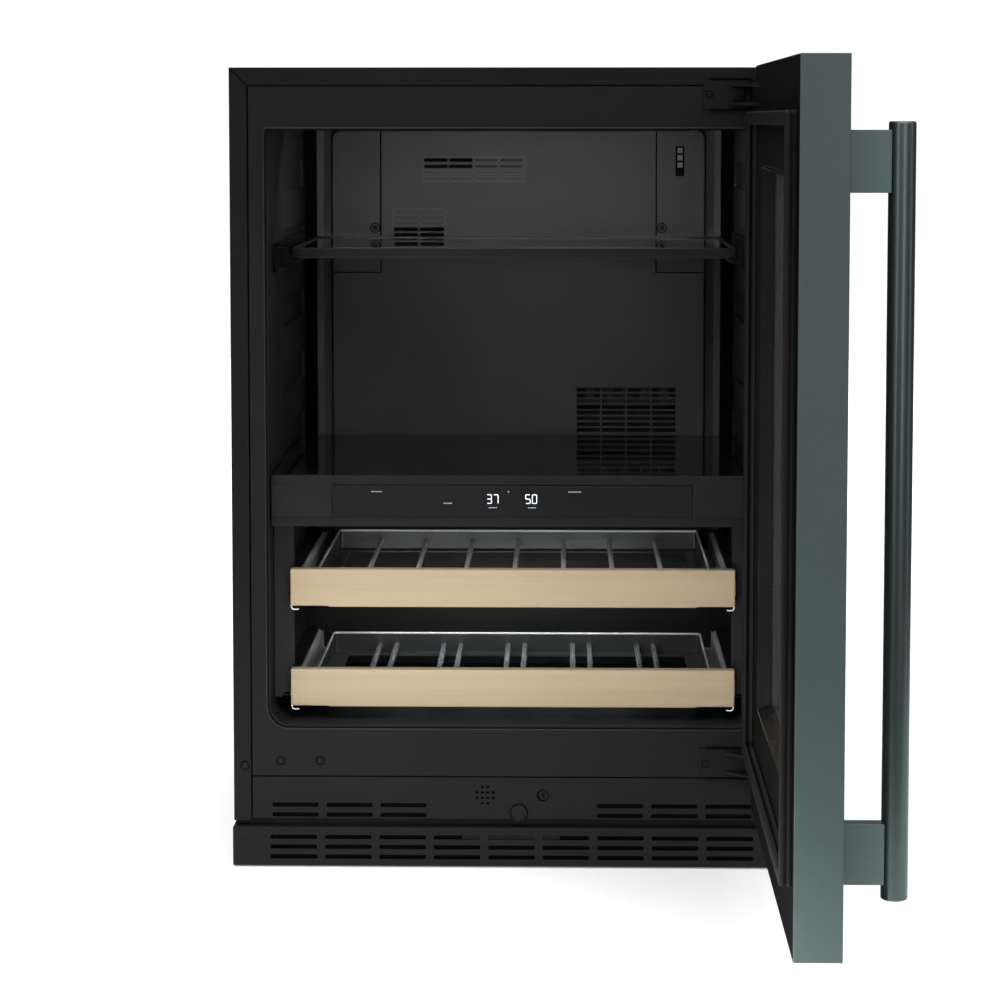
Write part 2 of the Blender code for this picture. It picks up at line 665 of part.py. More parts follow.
def glass_shelf(cabinet):
    for name, sign in (("left", -1), ("right", 1)):
        plate = mirrored(sign, (0.2604, 0.076, 0.6440), (IN_X - GAP, 0.460, 0.6760))
        ledge = mirrored(sign, (0.2380, 0.076, 0.6540), (0.2610, 0.460, 0.6574))
        hook = mirrored(sign, (0.2480, 0.072, 0.6480), (0.2630, 0.088, 0.6720))
        make(f"shelf_bracket_{name}", plate, "black_plastic", cabinet, joins=[ledge, hook])
    slide = empty("shelf_axis", (0, SHELF_Y[0], SHELF_Z[0]), cabinet)
    whole = block((-SHELF_X, SHELF_Y[0], SHELF_Z[0]), (SHELF_X, SHELF_Y[1], SHELF_Z[1]))
    rim, seat = SHELF_X - 0.005, 0.6628
    pane_space = block((-rim, SHELF_Y[0] + 0.0048, seat), (rim, SHELF_Y[1] - 0.0048, 0.680))
    light = block((-rim + 0.008, 0.126, 0.650), (rim - 0.008, 0.432, 0.680))
    make("shelf_frame", whole, "grey_plastic", slide, cuts=[[pane_space], [light]])
    pane = block(
        (-rim + GAP, SHELF_Y[0] + 0.0048 + GAP, seat + GAP), (rim - GAP, SHELF_Y[1] - 0.0048 - GAP, 0.6682)
    )
    make("shelf_glass", pane, "glass", slide)


# Racks. The three rail members nest: fixed channel, middle channel, and the tray's own rail.


def channel(sign, section, z, y_lo, y_hi):
    """A C section open towards the middle of the cabinet: its web and its two flanges."""
    tip, web, back, bottom, top = section
    web_part = mirrored(sign, (web, y_lo, z + bottom), (back, y_hi, z + top))
    flanges = [
        mirrored(sign, (tip, y_lo, low), (web + 0.0002, y_hi, low + SHEET))
        for low in (z + bottom, z + top - SHEET)
    ]
    return web_part, flanges


def rack_support(name, sign, cabinet):
    """The side plate that carries both racks' fixed channels, with a notched front upright."""
    back = FIXED_CHANNEL[2]
    plate = mirrored(sign, (0.2550, UPRIGHT_Y[0], 0.1750), (0.2632, 0.3915, 0.3710))
    upright = mirrored(sign, (0.2410, UPRIGHT_Y[0], 0.1800), (back, UPRIGHT_Y[1], 0.3710))
    notches, joins = [], [upright]
    for size in RACKS.values():
        z = size["z"]
        web, flanges = channel(sign, FIXED_CHANNEL, z, UPRIGHT_Y[1] + 0.0010, size["channel"])
        joins += [web] + flanges
        notches.append(
            mirrored(sign, (0.2300, 0.0500, z + 0.0060), (0.2466, UPRIGHT_Y[1] + 0.0005, z + 0.0330))
        )
    make(f"rack_support_{name}", plate, "black_steel", cabinet, joins=joins, cuts=[notches])


def rack(name, cabinet):
    size = RACKS[name]
    z = size["z"]
    pull = empty(f"{name}_rack_axis", (0, FRONT_Y[0], z), cabinet)
    front = block((-FRONT_X, FRONT_Y[0], z), (FRONT_X, FRONT_Y[1], z + FRONT_HEIGHT))
    end = 0.042  # the lower edge is cut back by a little over each end
    scallops = [
        mirrored(sign, (FRONT_X - end, 0.030, z - PAST), (FRONT_X + PAST, 0.070, z + 0.0012))
        for sign in (-1, 1)
    ]
    make(f"{name}_rack_front", front, "wood", pull, cuts=[scallops], bevel=0.0006)
    rack_tray(name, z, size, pull)
    half_way = empty(f"{name}_slide_axis", (0, FRONT_Y[0], z), cabinet)
    for side, sign in (("left", -1), ("right", 1)):
        web, flanges = channel(sign, MIDDLE_CHANNEL, z, 0.0625, size["channel"] - 0.010)
        make(f"{name}_slide_{side}", web, "bare_steel", half_way, joins=flanges)


def tray_rail(sign, z, y_hi):
    """A tray's side: a ledge out from its rim, a wall up, and the rail that runs in the channels."""
    y_lo, bottom = 0.0640, z + 0.0050
    return [
        mirrored(sign, (TRAY_X - 0.0005, y_lo, bottom), (0.2365, y_hi, bottom + SHEET)),
        mirrored(sign, (0.2350, y_lo, bottom), (0.2365, y_hi, z + 0.0265)),
        mirrored(sign, (0.2360, y_lo, z + 0.0124), (0.2436, y_hi, z + 0.0266)),
    ]


def tray_bars(name, z, rear):
    """Round bars on the upper tray, and pairs of flat ones on the lower."""
    y_lo, y_hi = TRAY_Y + 0.0008, rear + 0.0008
    if name == "upper":
        return [rod((x, y_lo, z + 0.0160), (x, y_hi, z + 0.0160), 0.0030, 8) for x in UPPER_BARS]
    return [
        block((x - 0.003, y_lo, z + 0.0120), (x + 0.003, y_hi, z + 0.0180)) for x in LOWER_BARS
    ]


def rack_tray(name, z, size, parent):
    """A folded steel rim, open below, with bars for the bottles and a rail along each side."""
    rear = size["rear"]
    bottom, top = z + 0.0050, z + 0.0310
    whole = block((-TRAY_X, TRAY_Y, bottom), (TRAY_X, rear + SHEET, top))
    inside = block(
        (-TRAY_X + SHEET, TRAY_Y + SHEET, bottom + SHEET), (TRAY_X - SHEET, rear, top + PAST)
    )
    lip = 0.016 if name == "upper" else 0.020
    floor_hole = block(
        (-TRAY_X + lip, TRAY_Y + lip, bottom - PAST), (TRAY_X - lip, rear - lip, top + PAST)
    )
    tray = make(f"{name}_rack_tray", whole, "bare_steel", parent, cuts=[[inside], [floor_hole]])
    sides = tray_rail(-1, z, size["rail"]) + tray_rail(1, z, size["rail"])
    for number, shape in enumerate(sides + tray_bars(name, z, rear)):
        carve(tray, f"{name}_rack_tray_join_{number}", "UNION", [shape], parent)


# Door


def hinge_pocket_cuts(grow=0.0):
    return [
        block((0.235 - grow, -0.0504 - grow, lo - grow), (DOOR_X[1] + PAST, PAST, hi + grow))
        for lo, hi in HINGE_POCKETS.values()
    ]


def door_panels(door):
    (x_lo, x_hi), (y_lo, y_hi), (z_lo, z_hi) = DOOR_X, DOOR_Y, DOOR_Z
    inset = SHEET + GAP
    whole = block((x_lo, y_lo, z_lo), (x_hi, y_hi, z_hi))
    inside = block((x_lo + SHEET, y_lo + SHEET, z_lo + SHEET), (x_hi - SHEET, PAST, z_hi - SHEET))
    window = block((-WINDOW_X, y_lo - PAST, WINDOW_Z[0]), (WINDOW_X, y_lo + PAST, WINDOW_Z[1]))
    make("door_skin", whole, "green_metal", door, cuts=[[inside], [window], hinge_pocket_cuts()])

    core = block((x_lo + inset, y_lo + inset, z_lo + inset), (x_hi - inset, -0.0145, z_hi - inset))
    glazing = block((-PANE_X - GAP, -0.070, PANE_Z[0] - GAP), (PANE_X + GAP, PAST, PANE_Z[1] + GAP))
    make("door_core", core, "foam", door, cuts=[[glazing], hinge_pocket_cuts()])

    plate = block((x_lo + inset, -0.0141, z_lo + inset), (x_hi - inset, y_hi, z_hi - inset))
    rim = 0.003
    collar = block(
        (-WINDOW_X - rim, -0.0256, WINDOW_Z[0] - rim), (WINDOW_X + rim, -0.0130, WINDOW_Z[1] + rim)
    )
    sight = block((-WINDOW_X, -0.040, WINDOW_Z[0]), (WINDOW_X, PAST, WINDOW_Z[1]))
    make("door_liner", plate, "black_plastic", door, joins=[collar], cuts=[[sight], hinge_pocket_cuts()])


def door_glazing(door):
    (x_lo, x_hi), (z_lo, z_hi) = (-PANE_X, PANE_X), PANE_Z
    for name, (y_lo, y_hi) in PANE_Y.items():
        make(f"window_{name}_glass", block((x_lo, y_lo, z_lo), (x_hi, y_hi, z_hi)), "glass", door)
    ring = block((x_lo, PANE_Y["outer"][1] + GAP, z_lo), (x_hi, PANE_Y["inner"][0] - GAP, z_hi))
    width = 0.009
    hole = block((x_lo + width, -0.060, z_lo + width), (x_hi - width, 0, z_hi - width))
    make("window_spacer", ring, "black_plastic", door, cuts=[[hole]])


def door_gasket(door):
    (in_z, out_z), (in_x, out_x) = GASKET_Z, GASKET_X
    ring = block((-out_x, DOOR_Y[1] + GAP, out_z[0]), (out_x, -GAP, out_z[1]))
    hole = block((-in_x, -0.030, in_z[0]), (in_x, PAST, in_z[1]))
    make("door_gasket", ring, "rubber", door, cuts=[[hole]])


def handle(door):
    line = bpy.data.curves.new("handle_bar", "CURVE")
    line.dimensions = "3D"
    line.bevel_depth = BAR_R
    line.bevel_resolution = 5
    line.use_fill_caps = True
    spline = line.splines.new("POLY")
    spline.points.add(1)
    for point, z in zip(spline.points, BAR_Z):
        point.co = (0, 0, z, 1)
    bar = bpy.data.objects.new("handle_bar", line)
    bar.location = Vector((BAR_X, BAR_Y, 0)) - HINGE
    bar.parent = door
    line.materials.append(material("green_metal"))
    PARTS.objects.link(bar)
    half_x, half_z = POST_HALF
    for name, z in POST_Z.items():
        post = block(
            (BAR_X - half_x, BAR_Y + 0.006, z - half_z), (BAR_X + half_x, DOOR_Y[0] - GAP, z + half_z)
        )
        reach = half_z + PAST
        saddle = rod((BAR_X, BAR_Y, z - reach), (BAR_X, BAR_Y, z + reach), BAR_R + 0.0006, 24)
        make(f"handle_post_{name}", post, "green_metal", door, cuts=[[saddle]])


def ear(z_lo, z_hi):
    """One arm of a hinge bracket: a flat outline from the cabinet's face round the pin."""
    reach = 0.0085
    points = [(0.226, -GAP), (0.254, -GAP)]
    points += [
        (HINGE.x + reach * math.cos(math.radians(a)), HINGE.y + reach * math.sin(math.radians(a)))
        for a in range(35, -146, -30)
    ]

    def add(bm):
        flat = bpy.data.curves.new("ear", "CURVE")
        flat.dimensions = "2D"
        flat.fill_mode = "BOTH"
        flat.extrude = (z_hi - z_lo) / 2
        spline = flat.splines.new("POLY")
        spline.points.add(len(points) - 1)
        for point, (x, y) in zip(spline.points, points):
            point.co = (x, y, 0, 1)
        spline.use_cyclic_u = True
        holder = bpy.data.objects.new("ear", flat)
        mesh = bpy.data.meshes.new_from_object(holder)
        mesh.transform(Matrix.Translation((0, 0, (z_lo + z_hi) / 2)))
        bm.from_mesh(mesh)
        bmesh.ops.remove_doubles(bm, verts=bm.verts, dist=0.00001)
        bmesh.ops.recalc_face_normals(bm, faces=bm.faces)
        bpy.data.objects.remove(holder)

    return add


def hinge(name, cabinet, door):
    z_lo, z_hi = HINGE_POCKETS[name][0] + 0.0005, HINGE_POCKETS[name][1] - 0.0005
    plate = block((0.204, -0.0034, z_lo), (0.254, -GAP, z_hi))
    arm = 0.003
    lower, upper = z_lo + 0.0035, z_hi - 0.0035 - arm
    pin = rod((HINGE.x, HINGE.y, lower - 0.0015), (HINGE.x, HINGE.y, upper + arm + 0.0015), HINGE_PIN_R)
    arms = [ear(lower, lower + arm), ear(upper, upper + arm), pin]
    make(f"hinge_bracket_{name}", plate, "black_steel", cabinet, joins=arms)
    leaf_z = (lower + arm + GAP, upper - GAP)
    sleeve = rod((HINGE.x, HINGE.y, leaf_z[0]), (HINGE.x, HINGE.y, leaf_z[1]), 0.0082)
    inset = GAP / 2
    tongue = block(
        (HINGE.x - 0.0080, -0.0500, leaf_z[0] + inset), (HINGE.x + 0.0080, HINGE.y, leaf_z[1] - inset)
    )
    bore = rod((HINGE.x, HINGE.y, z_lo), (HINGE.x, HINGE.y, z_hi), HINGE_PIN_R + GAP)
    make(f"hinge_leaf_{name}", sleeve, "bare_steel", door, joins=[tongue], cuts=[[bore]])


def build():
    open_x = HINGE.x + HINGE.y - BAR_Y + BAR_R  # the handle's outer side, with the door open
    open_y = HINGE.y - HINGE.x + DOOR_X[0]  # the door's free edge
    cabinet = empty("cabinet", (0, 0, 0))
    cabinet.location = ((TOE_X - open_x) / 2, -(open_y + DEPTH) / 2, 0)
    outer_wrapper(cabinet)
    rear_panels(cabinet)
    base_pan(cabinet)
    inner_liner(cabinet)
    foam_insulation(cabinet)
    front_frame(cabinet)
    lower_panel(cabinet)
    toe_grille(cabinet)
    for side, sign in (("left", -1), ("right", 1)):
        for end, y in (("front", LEG_Y[0]), ("rear", LEG_Y[1])):
            leg(f"leg_{end}_{side}", sign * LEG_X, y, cabinet)
        rack_support(side, sign, cabinet)
    rear_cover(cabinet)
    evaporator_group(cabinet)
    compressor(cabinet)
    condenser(cabinet)
    cooling_fan(cabinet)
    base_boxes(cabinet)
    divider(cabinet)
    glass_shelf(cabinet)
    for name in RACKS:
        rack(name, cabinet)
    door = empty("door_axis", HINGE, cabinet, turn=math.pi / 2)
    door_panels(door)
    door_glazing(door)
    door_gasket(door)
    handle(door)
    for name in HINGE_POCKETS:
        hinge(name, cabinet, door)


clear_scene()
PARTS = new_collection("wine_cooler")
CUTTERS = new_collection("cutters", helper=True)
build()
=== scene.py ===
"""The looks of the undercounter wine cooler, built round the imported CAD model.

The script gives the model's parts their materials, replaces the plain panels with rounded and
detailed ones, adds screws, seals, trims, rods and the display, and sets up the floor, lights and
camera.

Two drawing frames are used, both in metres. The cabinet frame has x = 0 at the cabinet's centre,
y = 0 on its front plane with +Y going in, and z = 0 on the floor. The door frame is the same frame
with the door drawn shut, and DOOR turns it to where the open door stands.
"""

import fnmatch
import math

import bmesh
import bpy
from mathutils import Matrix, Vector
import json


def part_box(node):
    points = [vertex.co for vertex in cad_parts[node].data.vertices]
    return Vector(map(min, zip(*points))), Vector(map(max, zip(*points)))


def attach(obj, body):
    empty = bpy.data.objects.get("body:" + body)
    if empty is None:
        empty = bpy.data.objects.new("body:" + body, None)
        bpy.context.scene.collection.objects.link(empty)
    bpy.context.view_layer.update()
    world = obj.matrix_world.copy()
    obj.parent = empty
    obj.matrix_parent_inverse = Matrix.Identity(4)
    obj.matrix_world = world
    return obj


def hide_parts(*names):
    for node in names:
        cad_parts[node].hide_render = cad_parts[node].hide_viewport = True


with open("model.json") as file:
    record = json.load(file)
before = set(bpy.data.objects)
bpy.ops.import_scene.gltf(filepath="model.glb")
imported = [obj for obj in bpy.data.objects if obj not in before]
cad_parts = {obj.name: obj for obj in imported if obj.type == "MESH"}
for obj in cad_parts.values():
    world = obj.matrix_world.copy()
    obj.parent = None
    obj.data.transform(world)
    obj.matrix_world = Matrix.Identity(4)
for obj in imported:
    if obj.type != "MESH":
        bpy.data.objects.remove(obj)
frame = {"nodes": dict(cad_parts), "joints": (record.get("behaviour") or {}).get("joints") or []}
NODES = frame["nodes"]
SCENE = bpy.context.scene
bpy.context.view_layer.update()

# Frames

case_lo, case_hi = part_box("outer_wrapper")
CABINET = Matrix.Translation(((case_lo.x + case_hi.x) / 2, case_lo.y, 0))
PIN = Vector(next(joint["pos_m"] for joint in frame["joints"] if joint["name"] == "door_hinge"))
DOOR = Matrix.Translation(PIN) @ Matrix.Rotation(math.pi / 2, 4, "Z") @ Matrix.Translation(-PIN) @ CABINET
STAND = Matrix.Rotation(math.pi / 2, 4, "X")  # turns a panel drawn in XY to face -Y


def box_of(node, place=CABINET):
    """A node's lowest and highest corners in a drawing frame."""
    ends = [place.inverted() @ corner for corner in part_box(node)]
    return Vector(map(min, *ends)), Vector(map(max, *ends))


def spaced(start, step, count):
    return [start + step * k for k in range(count)]


def round_points(radius, step, count):
    """Points on a circle about the origin, the first one on X."""
    return [(radius * math.cos(step * k), radius * math.sin(step * k)) for k in range(count)]


SIDES = (("left", -1), ("right", 1))  # names, and the sign of x


# Materials

NOISE_LOW, NOISE_HIGH = 0.3, 0.7  # the middle range that noise mostly stays in


class Nodes:
    """The node tree of a material or of the world, being made."""

    def __init__(self, owner):
        owner.use_nodes = True
        self.tree = owner.node_tree

    def set(self, node, values):
        for key, value in values.items():
            node.inputs[key].default_value = value

    def add(self, kind, inputs=None, **settings):
        node = self.tree.nodes.new("ShaderNode" + kind)
        for key, value in settings.items():
            setattr(node, key, value)
        self.set(node, inputs or {})
        return node

    def link(self, source, target):
        self.tree.links.new(source, target)


class Look(Nodes):
    """A material being made: its Principled shader and the nodes that feed it."""

    def __init__(self, name, colour, roughness, **more):
        self.material = bpy.data.materials.new(name)
        super().__init__(self.material)
        self.shader = self.tree.nodes["Principled BSDF"]
        self.set(self.shader, {"Base Color": (*colour, 1.0), "Roughness": roughness})
        self.set(self.shader, {key.replace("_", " "): value for key, value in more.items()})
        self.coordinates = self.add("TexCoord").outputs["Object"]

    def noise(self, scale, detail=3.0, roughness=0.55):
        """Noise whose scale is the number of its features in a metre along each axis."""
        if isinstance(scale, (int, float)):
            scale = (scale, scale, scale)
        mapping = self.add("Mapping", {"Scale": scale})
        self.link(self.coordinates, mapping.inputs["Vector"])
        node = self.add("TexNoise", {"Scale": 1.0, "Detail": detail, "Roughness": roughness})
        self.link(mapping.outputs["Vector"], node.inputs["Vector"])
        return node.outputs["Fac"]

    def ramp(self, source, stops):
        """A colour ramp over (position, colour) stops."""
        node = self.add("ValToRGB")
        elements = node.color_ramp.elements
        while len(elements) < len(stops):
            elements.new(0.5)
        for element, (position, colour) in zip(elements, stops):
            element.position = position
            element.color = (*colour, 1.0)
        self.link(source, node.inputs["Fac"])
        return node.outputs["Color"]

    def tint(self, source, colour, share):
        """Lets the source move the base colour up and down by a share of itself."""
        dark, light = ([part * (1 + side * share) for part in colour] for side in (-1, 1))
        shades = self.ramp(source, [(NOISE_LOW, dark), (NOISE_HIGH, light)])
        self.link(shades, self.shader.inputs["Base Color"])

    def rough(self, source, low, high):
        """Lets the source move the roughness from low to high."""
        reach = {"From Min": NOISE_LOW, "From Max": NOISE_HIGH, "To Min": low, "To Max": high}
        node = self.add("MapRange", reach)
        self.link(source, node.inputs["Value"])
        self.link(node.outputs["Result"], self.shader.inputs["Roughness"])

    def bump(self, source, depth):
        """Relief of that depth in metres."""
        node = self.add("Bump", {"Strength": 1.0, "Distance": depth})
        self.link(source, node.inputs["Height"])
        self.link(node.outputs["Normal"], self.shader.inputs["Normal"])


def painted(name, colour, roughness, grain=900, relief=0.00004, gloss=0.3):
    """Powder-coated or moulded: a fine pebbled relief, with a slight drift in colour and gloss."""
    look = Look(name, colour, roughness, Specular_IOR_Level=gloss)
    look.bump(look.noise(grain, 2.0), relief)
    drift = look.noise(6.0, 4.0)
    look.tint(drift, colour, 0.1)
    look.rough(drift, roughness - 0.05, roughness + 0.05)
    return look.material


def glossy(name, colour, roughness, gloss):
    """Polished plastic or opaque glass, with faint smears in its gloss."""
    look = Look(name, colour, roughness, Specular_IOR_Level=gloss)
    smear = look.noise((9.0, 14.0, 5.0), 5.0)
    look.rough(smear, roughness * 0.7, roughness * 1.5)
    look.tint(look.noise(4.0), colour, 0.06)
    return look.material


def brushed(name, colour, roughness, along, metallic=1.0, variation=0.07):
    """Metal with fine lines along one axis."""
    look = Look(name, colour, roughness, Metallic=metallic)
    fine = [5.0 if axis == along else 2600.0 for axis in range(3)]
    lines = look.noise(fine, 3.0)
    look.bump(lines, 0.00001)
    look.rough(lines, roughness - 0.07, roughness + 0.07)
    broad = look.noise([2.0 if axis == along else 160.0 for axis in range(3)], 4.0)
    look.tint(broad, colour, variation)
    return look.material


def maple():
    """Pale wood with straight grain along X: broad bands and fine fibres."""
    dark, middle, pale = (0.342, 0.264, 0.167), (0.377, 0.296, 0.191), (0.397, 0.316, 0.211)
    look = Look("maple", middle, 0.48, Specular_IOR_Level=0.4)
    bands = look.noise((1.6, 60.0, 90.0), 5.0, 0.6)
    fibres = look.noise((14.0, 900.0, 1100.0), 3.0, 0.6)
    grain = look.add("Mix", {"Factor": 0.42})
    look.link(bands, grain.inputs["A"])
    look.link(fibres, grain.inputs["B"])
    shades = look.ramp(grain.outputs["Result"], [(0.3, dark), (0.47, middle), (0.66, pale)])
    look.link(shades, look.shader.inputs["Base Color"])
    look.rough(fibres, 0.42, 0.56)
    look.bump(fibres, 0.00003)
    return look.material


def clear_glass(name, colour, haze=0.0):
    """See-through glass with faint smears. haze is the share of light that it scatters instead."""
    look = Look(name, colour, 0.0, Transmission_Weight=1.0 - haze, IOR=1.45)
    look.rough(look.noise((20.0, 20.0, 12.0), 4.0), 0.0, 0.02)
    return look.material


def lit(name, colour, strength):
    """A diffuser or digit that gives light."""
    look = Look(name, colour, 0.4, Emission_Strength=strength)
    dim = [part * 0.9 for part in colour]
    glow = look.ramp(look.noise(300.0), [(NOISE_LOW, dim), (NOISE_HIGH, colour)])
    look.link(glow, look.shader.inputs["Emission Color"])
    return look.material


BLACK_STEEL = painted("black_powder_coat", (0.0066, 0.0066, 0.0069), 0.46, gloss=0.1)
FRAME_PLASTIC = painted("black_frame_plastic", (0.008, 0.008, 0.0082), 0.5, 1400, gloss=0.1)
# A little paler than the frame plastic: a painted highlight along the rounded edge of the door opening.
EDGE_HIGHLIGHT = painted("black_frame_painted_edge_highlight", (0.015, 0.015, 0.0152), 0.4, 1400, gloss=0.25)
LINER_PLASTIC = painted("black_liner_plastic", (0.0175, 0.0175, 0.0177), 0.38, 700, gloss=0.16)
SUPPORT_PLASTIC = painted("black_support_plastic", (0.0165, 0.0165, 0.0167), 0.44, 900, gloss=0.14)
DIVIDER_PLASTIC = painted("black_divider_plastic", (0.0108, 0.0108, 0.011), 0.42, 1200, gloss=0.14)
DOOR_PLASTIC = painted("black_door_liner", (0.0085, 0.0085, 0.0085), 0.4, 900, gloss=0.0)
DOOR_REVEAL = painted("black_door_reveal", (0.0075, 0.0075, 0.0075), 0.2, 900, gloss=0.2)
BRACKET_PLASTIC = painted("black_bracket_plastic", (0.004, 0.004, 0.0042), 0.3, 900, gloss=0.12)
COVER_PLASTIC = painted("grey_cover_plastic", (0.054, 0.054, 0.0537), 0.55, 1200, gloss=0.2)
# Darker than the cover plastic: painted shade in the recess behind the upper right closed vents.
COVER_SHADE = painted("grey_cover_recess_painted_shade", (0.026, 0.026, 0.026), 0.55, 1200, gloss=0.15)
# Paler than the cover plastic: a painted highlight on the cover's flange and on the closed vents' raised
# rims.
COVER_HIGHLIGHT = painted("grey_cover_painted_highlight", (0.085, 0.085, 0.084), 0.5, 1200, gloss=0.25)
# Far paler than the cover plastic: painted light on the cover's slanted flanks.
COVER_FLANK_LIT = painted("grey_cover_flank_painted_light", (0.2, 0.2, 0.198), 0.45, 1200, gloss=0.3)
BLACK_DOME = glossy("black_screw_dome", (0.0025, 0.0025, 0.0025), 0.26, 0.22)
PANEL_GLOSS = glossy("black_gloss_panel", (0.0124, 0.0124, 0.0129), 0.16, 0.14)
SHELF_TRIM = painted("shelf_trim_plastic", (0.0128, 0.0128, 0.0131), 0.4, 1500, gloss=0.18)
PLAIN_STEEL = brushed("plain_steel", (0.72, 0.72, 0.725), 0.26, 1, 0.35)
GALVANISED = brushed("galvanised_steel", (0.34, 0.35, 0.36), 0.45, 0)
TRAY_STEEL = brushed("tray_steel", (0.094, 0.096, 0.098), 0.36, 0, 0.8)
BAR_STEEL = brushed("bar_steel", (0.62, 0.63, 0.65), 0.24, 1, 0.75)
ROUND_BAR_STEEL = brushed("round_bar_steel", (0.72, 0.73, 0.75), 0.26, 1, 0.45)
# Near white and only a little metallic: a painted highlight for the trays' rolled edges and the front
# clips.
STEEL_HIGHLIGHT = brushed("steel_painted_highlight", (0.9, 0.9, 0.9), 0.28, 0, 0.3)
DARK_SCREW = brushed("black_oxide_screw", (0.02, 0.02, 0.021), 0.3, 0)
ALUMINIUM = brushed("fin_aluminium", (0.05, 0.051, 0.053), 0.45, 2)
COPPER = brushed("coil_copper", (0.6, 0.3, 0.17), 0.34, 0)
GLOSS_ENAMEL = painted("compressor_enamel", (0.012, 0.012, 0.013), 0.28, 500)
RUBBER = painted("seal_rubber", (0.0075, 0.0075, 0.0078), 0.55, 1800, gloss=0.12)
GREEN = brushed("green_brushed_metal", (0.057, 0.085, 0.082), 0.4, 1, 0.4, variation=0.03)
# A lighter copy of the door's green: painted light on the handle posts.
GREEN_POST_LIT = brushed("green_post_painted_light", (0.078, 0.116, 0.113), 0.4, 1, 0.35, variation=0.03)
GREEN_BAR = brushed("green_handle_metal", (0.078, 0.108, 0.103), 0.36, 2, 0.95, variation=0.03)
FOAM = painted("insulation_foam", (0.72, 0.62, 0.4), 0.9, 220, 0.0004)
MAPLE = maple()
SHELF_PANE = clear_glass("shelf_glass_clear", (0.9, 0.93, 0.92))
DOOR_PANE = clear_glass("door_glass_clear", (0.82, 0.83, 0.825), haze=0.035)
TINTED_PANE = clear_glass("door_glass_tinted", (0.315, 0.319, 0.323))
DARK_PANE = glossy("divider_glass_dark", (0.0058, 0.0058, 0.006), 0.03, 1.0)
SHADOW_GAP = painted("seam_shadow", (0.002, 0.002, 0.002), 0.8, gloss=0.02)
LAMP = lit("interior_lamp", (0.92, 0.96, 1.0), 1.6)
DIGITS = lit("display_digits", (0.8, 0.88, 1.0), 1.0)
SENSOR_LENS = painted("sensor_lens_grey", (0.15, 0.15, 0.147), 0.45, 500)
MARKS = lit("display_marks", (0.62, 0.66, 0.72), 0.28)

# Patterns of CAD node names, each node under one look.
CAD_LOOKS = {
    BLACK_STEEL: "outer_wrapper base_pan hinge_bracket_*",
    SUPPORT_PLASTIC: "rack_support_*",
    FRAME_PLASTIC: "front_frame lower_panel toe_grille leg_* power_inlet drain_pan "
                   "evaporator_fan_motor condenser_fan_shroud *_fan_blade",
    LINER_PLASTIC: "inner_liner",
    DIVIDER_PLASTIC: "divider_body panel_bezel",
    DOOR_PLASTIC: "door_liner",
    BRACKET_PLASTIC: "shelf_bracket_*",
    COVER_PLASTIC: "evaporator_cover *_duct_cover control_box",
    PANEL_GLOSS: "control_panel sensor_grille power_button",
    SHELF_TRIM: "shelf_frame",
    GALVANISED: "rear_panel machine_cover window_spacer",
    PLAIN_STEEL: "*_slide_* hinge_leaf_*",
    TRAY_STEEL: "*_rack_tray",
    ALUMINIUM: "evaporator",
    COPPER: "condenser",
    GLOSS_ENAMEL: "compressor",
    RUBBER: "door_gasket",
    GREEN: "door_skin",
    GREEN_POST_LIT: "handle_post_*",
    GREEN_BAR: "handle_bar",
    FOAM: "foam_insulation door_core",
    MAPLE: "*_rack_front",
    SHELF_PANE: "shelf_glass",
    DOOR_PANE: "window_inner_glass",
    TINTED_PANE: "window_outer_glass",
    DARK_PANE: "divider_glass",
}
EASED_EDGES = {
    0.0014: "*_rack_front",
    0.0008: "outer_wrapper inner_liner panel_bezel divider_body door_skin door_liner "
            "control_box shelf_frame",
    0.0004: "evaporator_cover *_duct_cover rack_support_* hinge_bracket_* control_panel "
            "shelf_bracket_* handle_post_* divider_glass shelf_glass sensor_grille",
}


def chosen(table):
    """Each key of the table, with every CAD node whose name fits one of its patterns."""
    for key, patterns in table.items():
        for pattern in patterns.split():
            for name in fnmatch.filter(NODES, pattern):
                yield key, NODES[name]


def dress_cad_nodes():
    """Gives every CAD node its material, and eases the sharp edges of those that show."""
    for look, node in chosen(CAD_LOOKS):
        for holder in node.material_slots:
            holder.material = look
    for width, node in chosen(EASED_EDGES):
        node.modifiers.new("Weld", "WELD").merge_threshold = 0.00002
        edge = node.modifiers.new("Edges", "BEVEL")
        edge.width = width
        edge.segments = 2
        edge.limit_method = "ANGLE"
        edge.angle_limit = math.radians(40)
        edge.use_clamp_overlap = True


# Shapes. A panel is drawn in XY, with its depth along Z, and placed by a matrix.

ARC_STEPS = 6


def filleted(corners, grow):
    """A closed outline through (x, y, radius) corners given anticlockwise, each rounded by an arc,
    after moving every side outwards by grow."""
    points = []
    for k, (x, y, radius) in enumerate(corners):
        here = Vector((x, y))
        before = (Vector(corners[k - 1][:2]) - here).normalized()
        after = (Vector(corners[(k + 1) % len(corners)][:2]) - here).normalized()
        side = 1 if after.cross(before) > 0 else -1  # 1 at an outer corner, -1 at an inner one
        half = before.angle(after) / 2
        middle = (before + after).normalized()
        here -= middle * side * grow / math.sin(half)
        radius = max(radius + side * grow, 0.00005)
        centre = here + middle * radius / math.sin(half)
        first, last = (here + way * radius / math.tan(half) - centre for way in (before, after))
        turn = first.angle_signed(last)
        start = math.atan2(first.y, first.x)
        for step in range(ARC_STEPS + 1):
            angle = start - turn * step / ARC_STEPS
            points.append(centre + Vector((math.cos(angle), math.sin(angle))) * radius)
    return points


def rectangle(lo, hi, radius):
    """The corners of a rectangle, with one radius or four from the lower left, anticlockwise."""
    radii = radius if isinstance(radius, tuple) else (radius,) * 4
    places = ((lo[0], lo[1]), (hi[0], lo[1]), (hi[0], hi[1]), (lo[0], hi[1]))
    return [(*place, each) for place, each in zip(places, radii)]


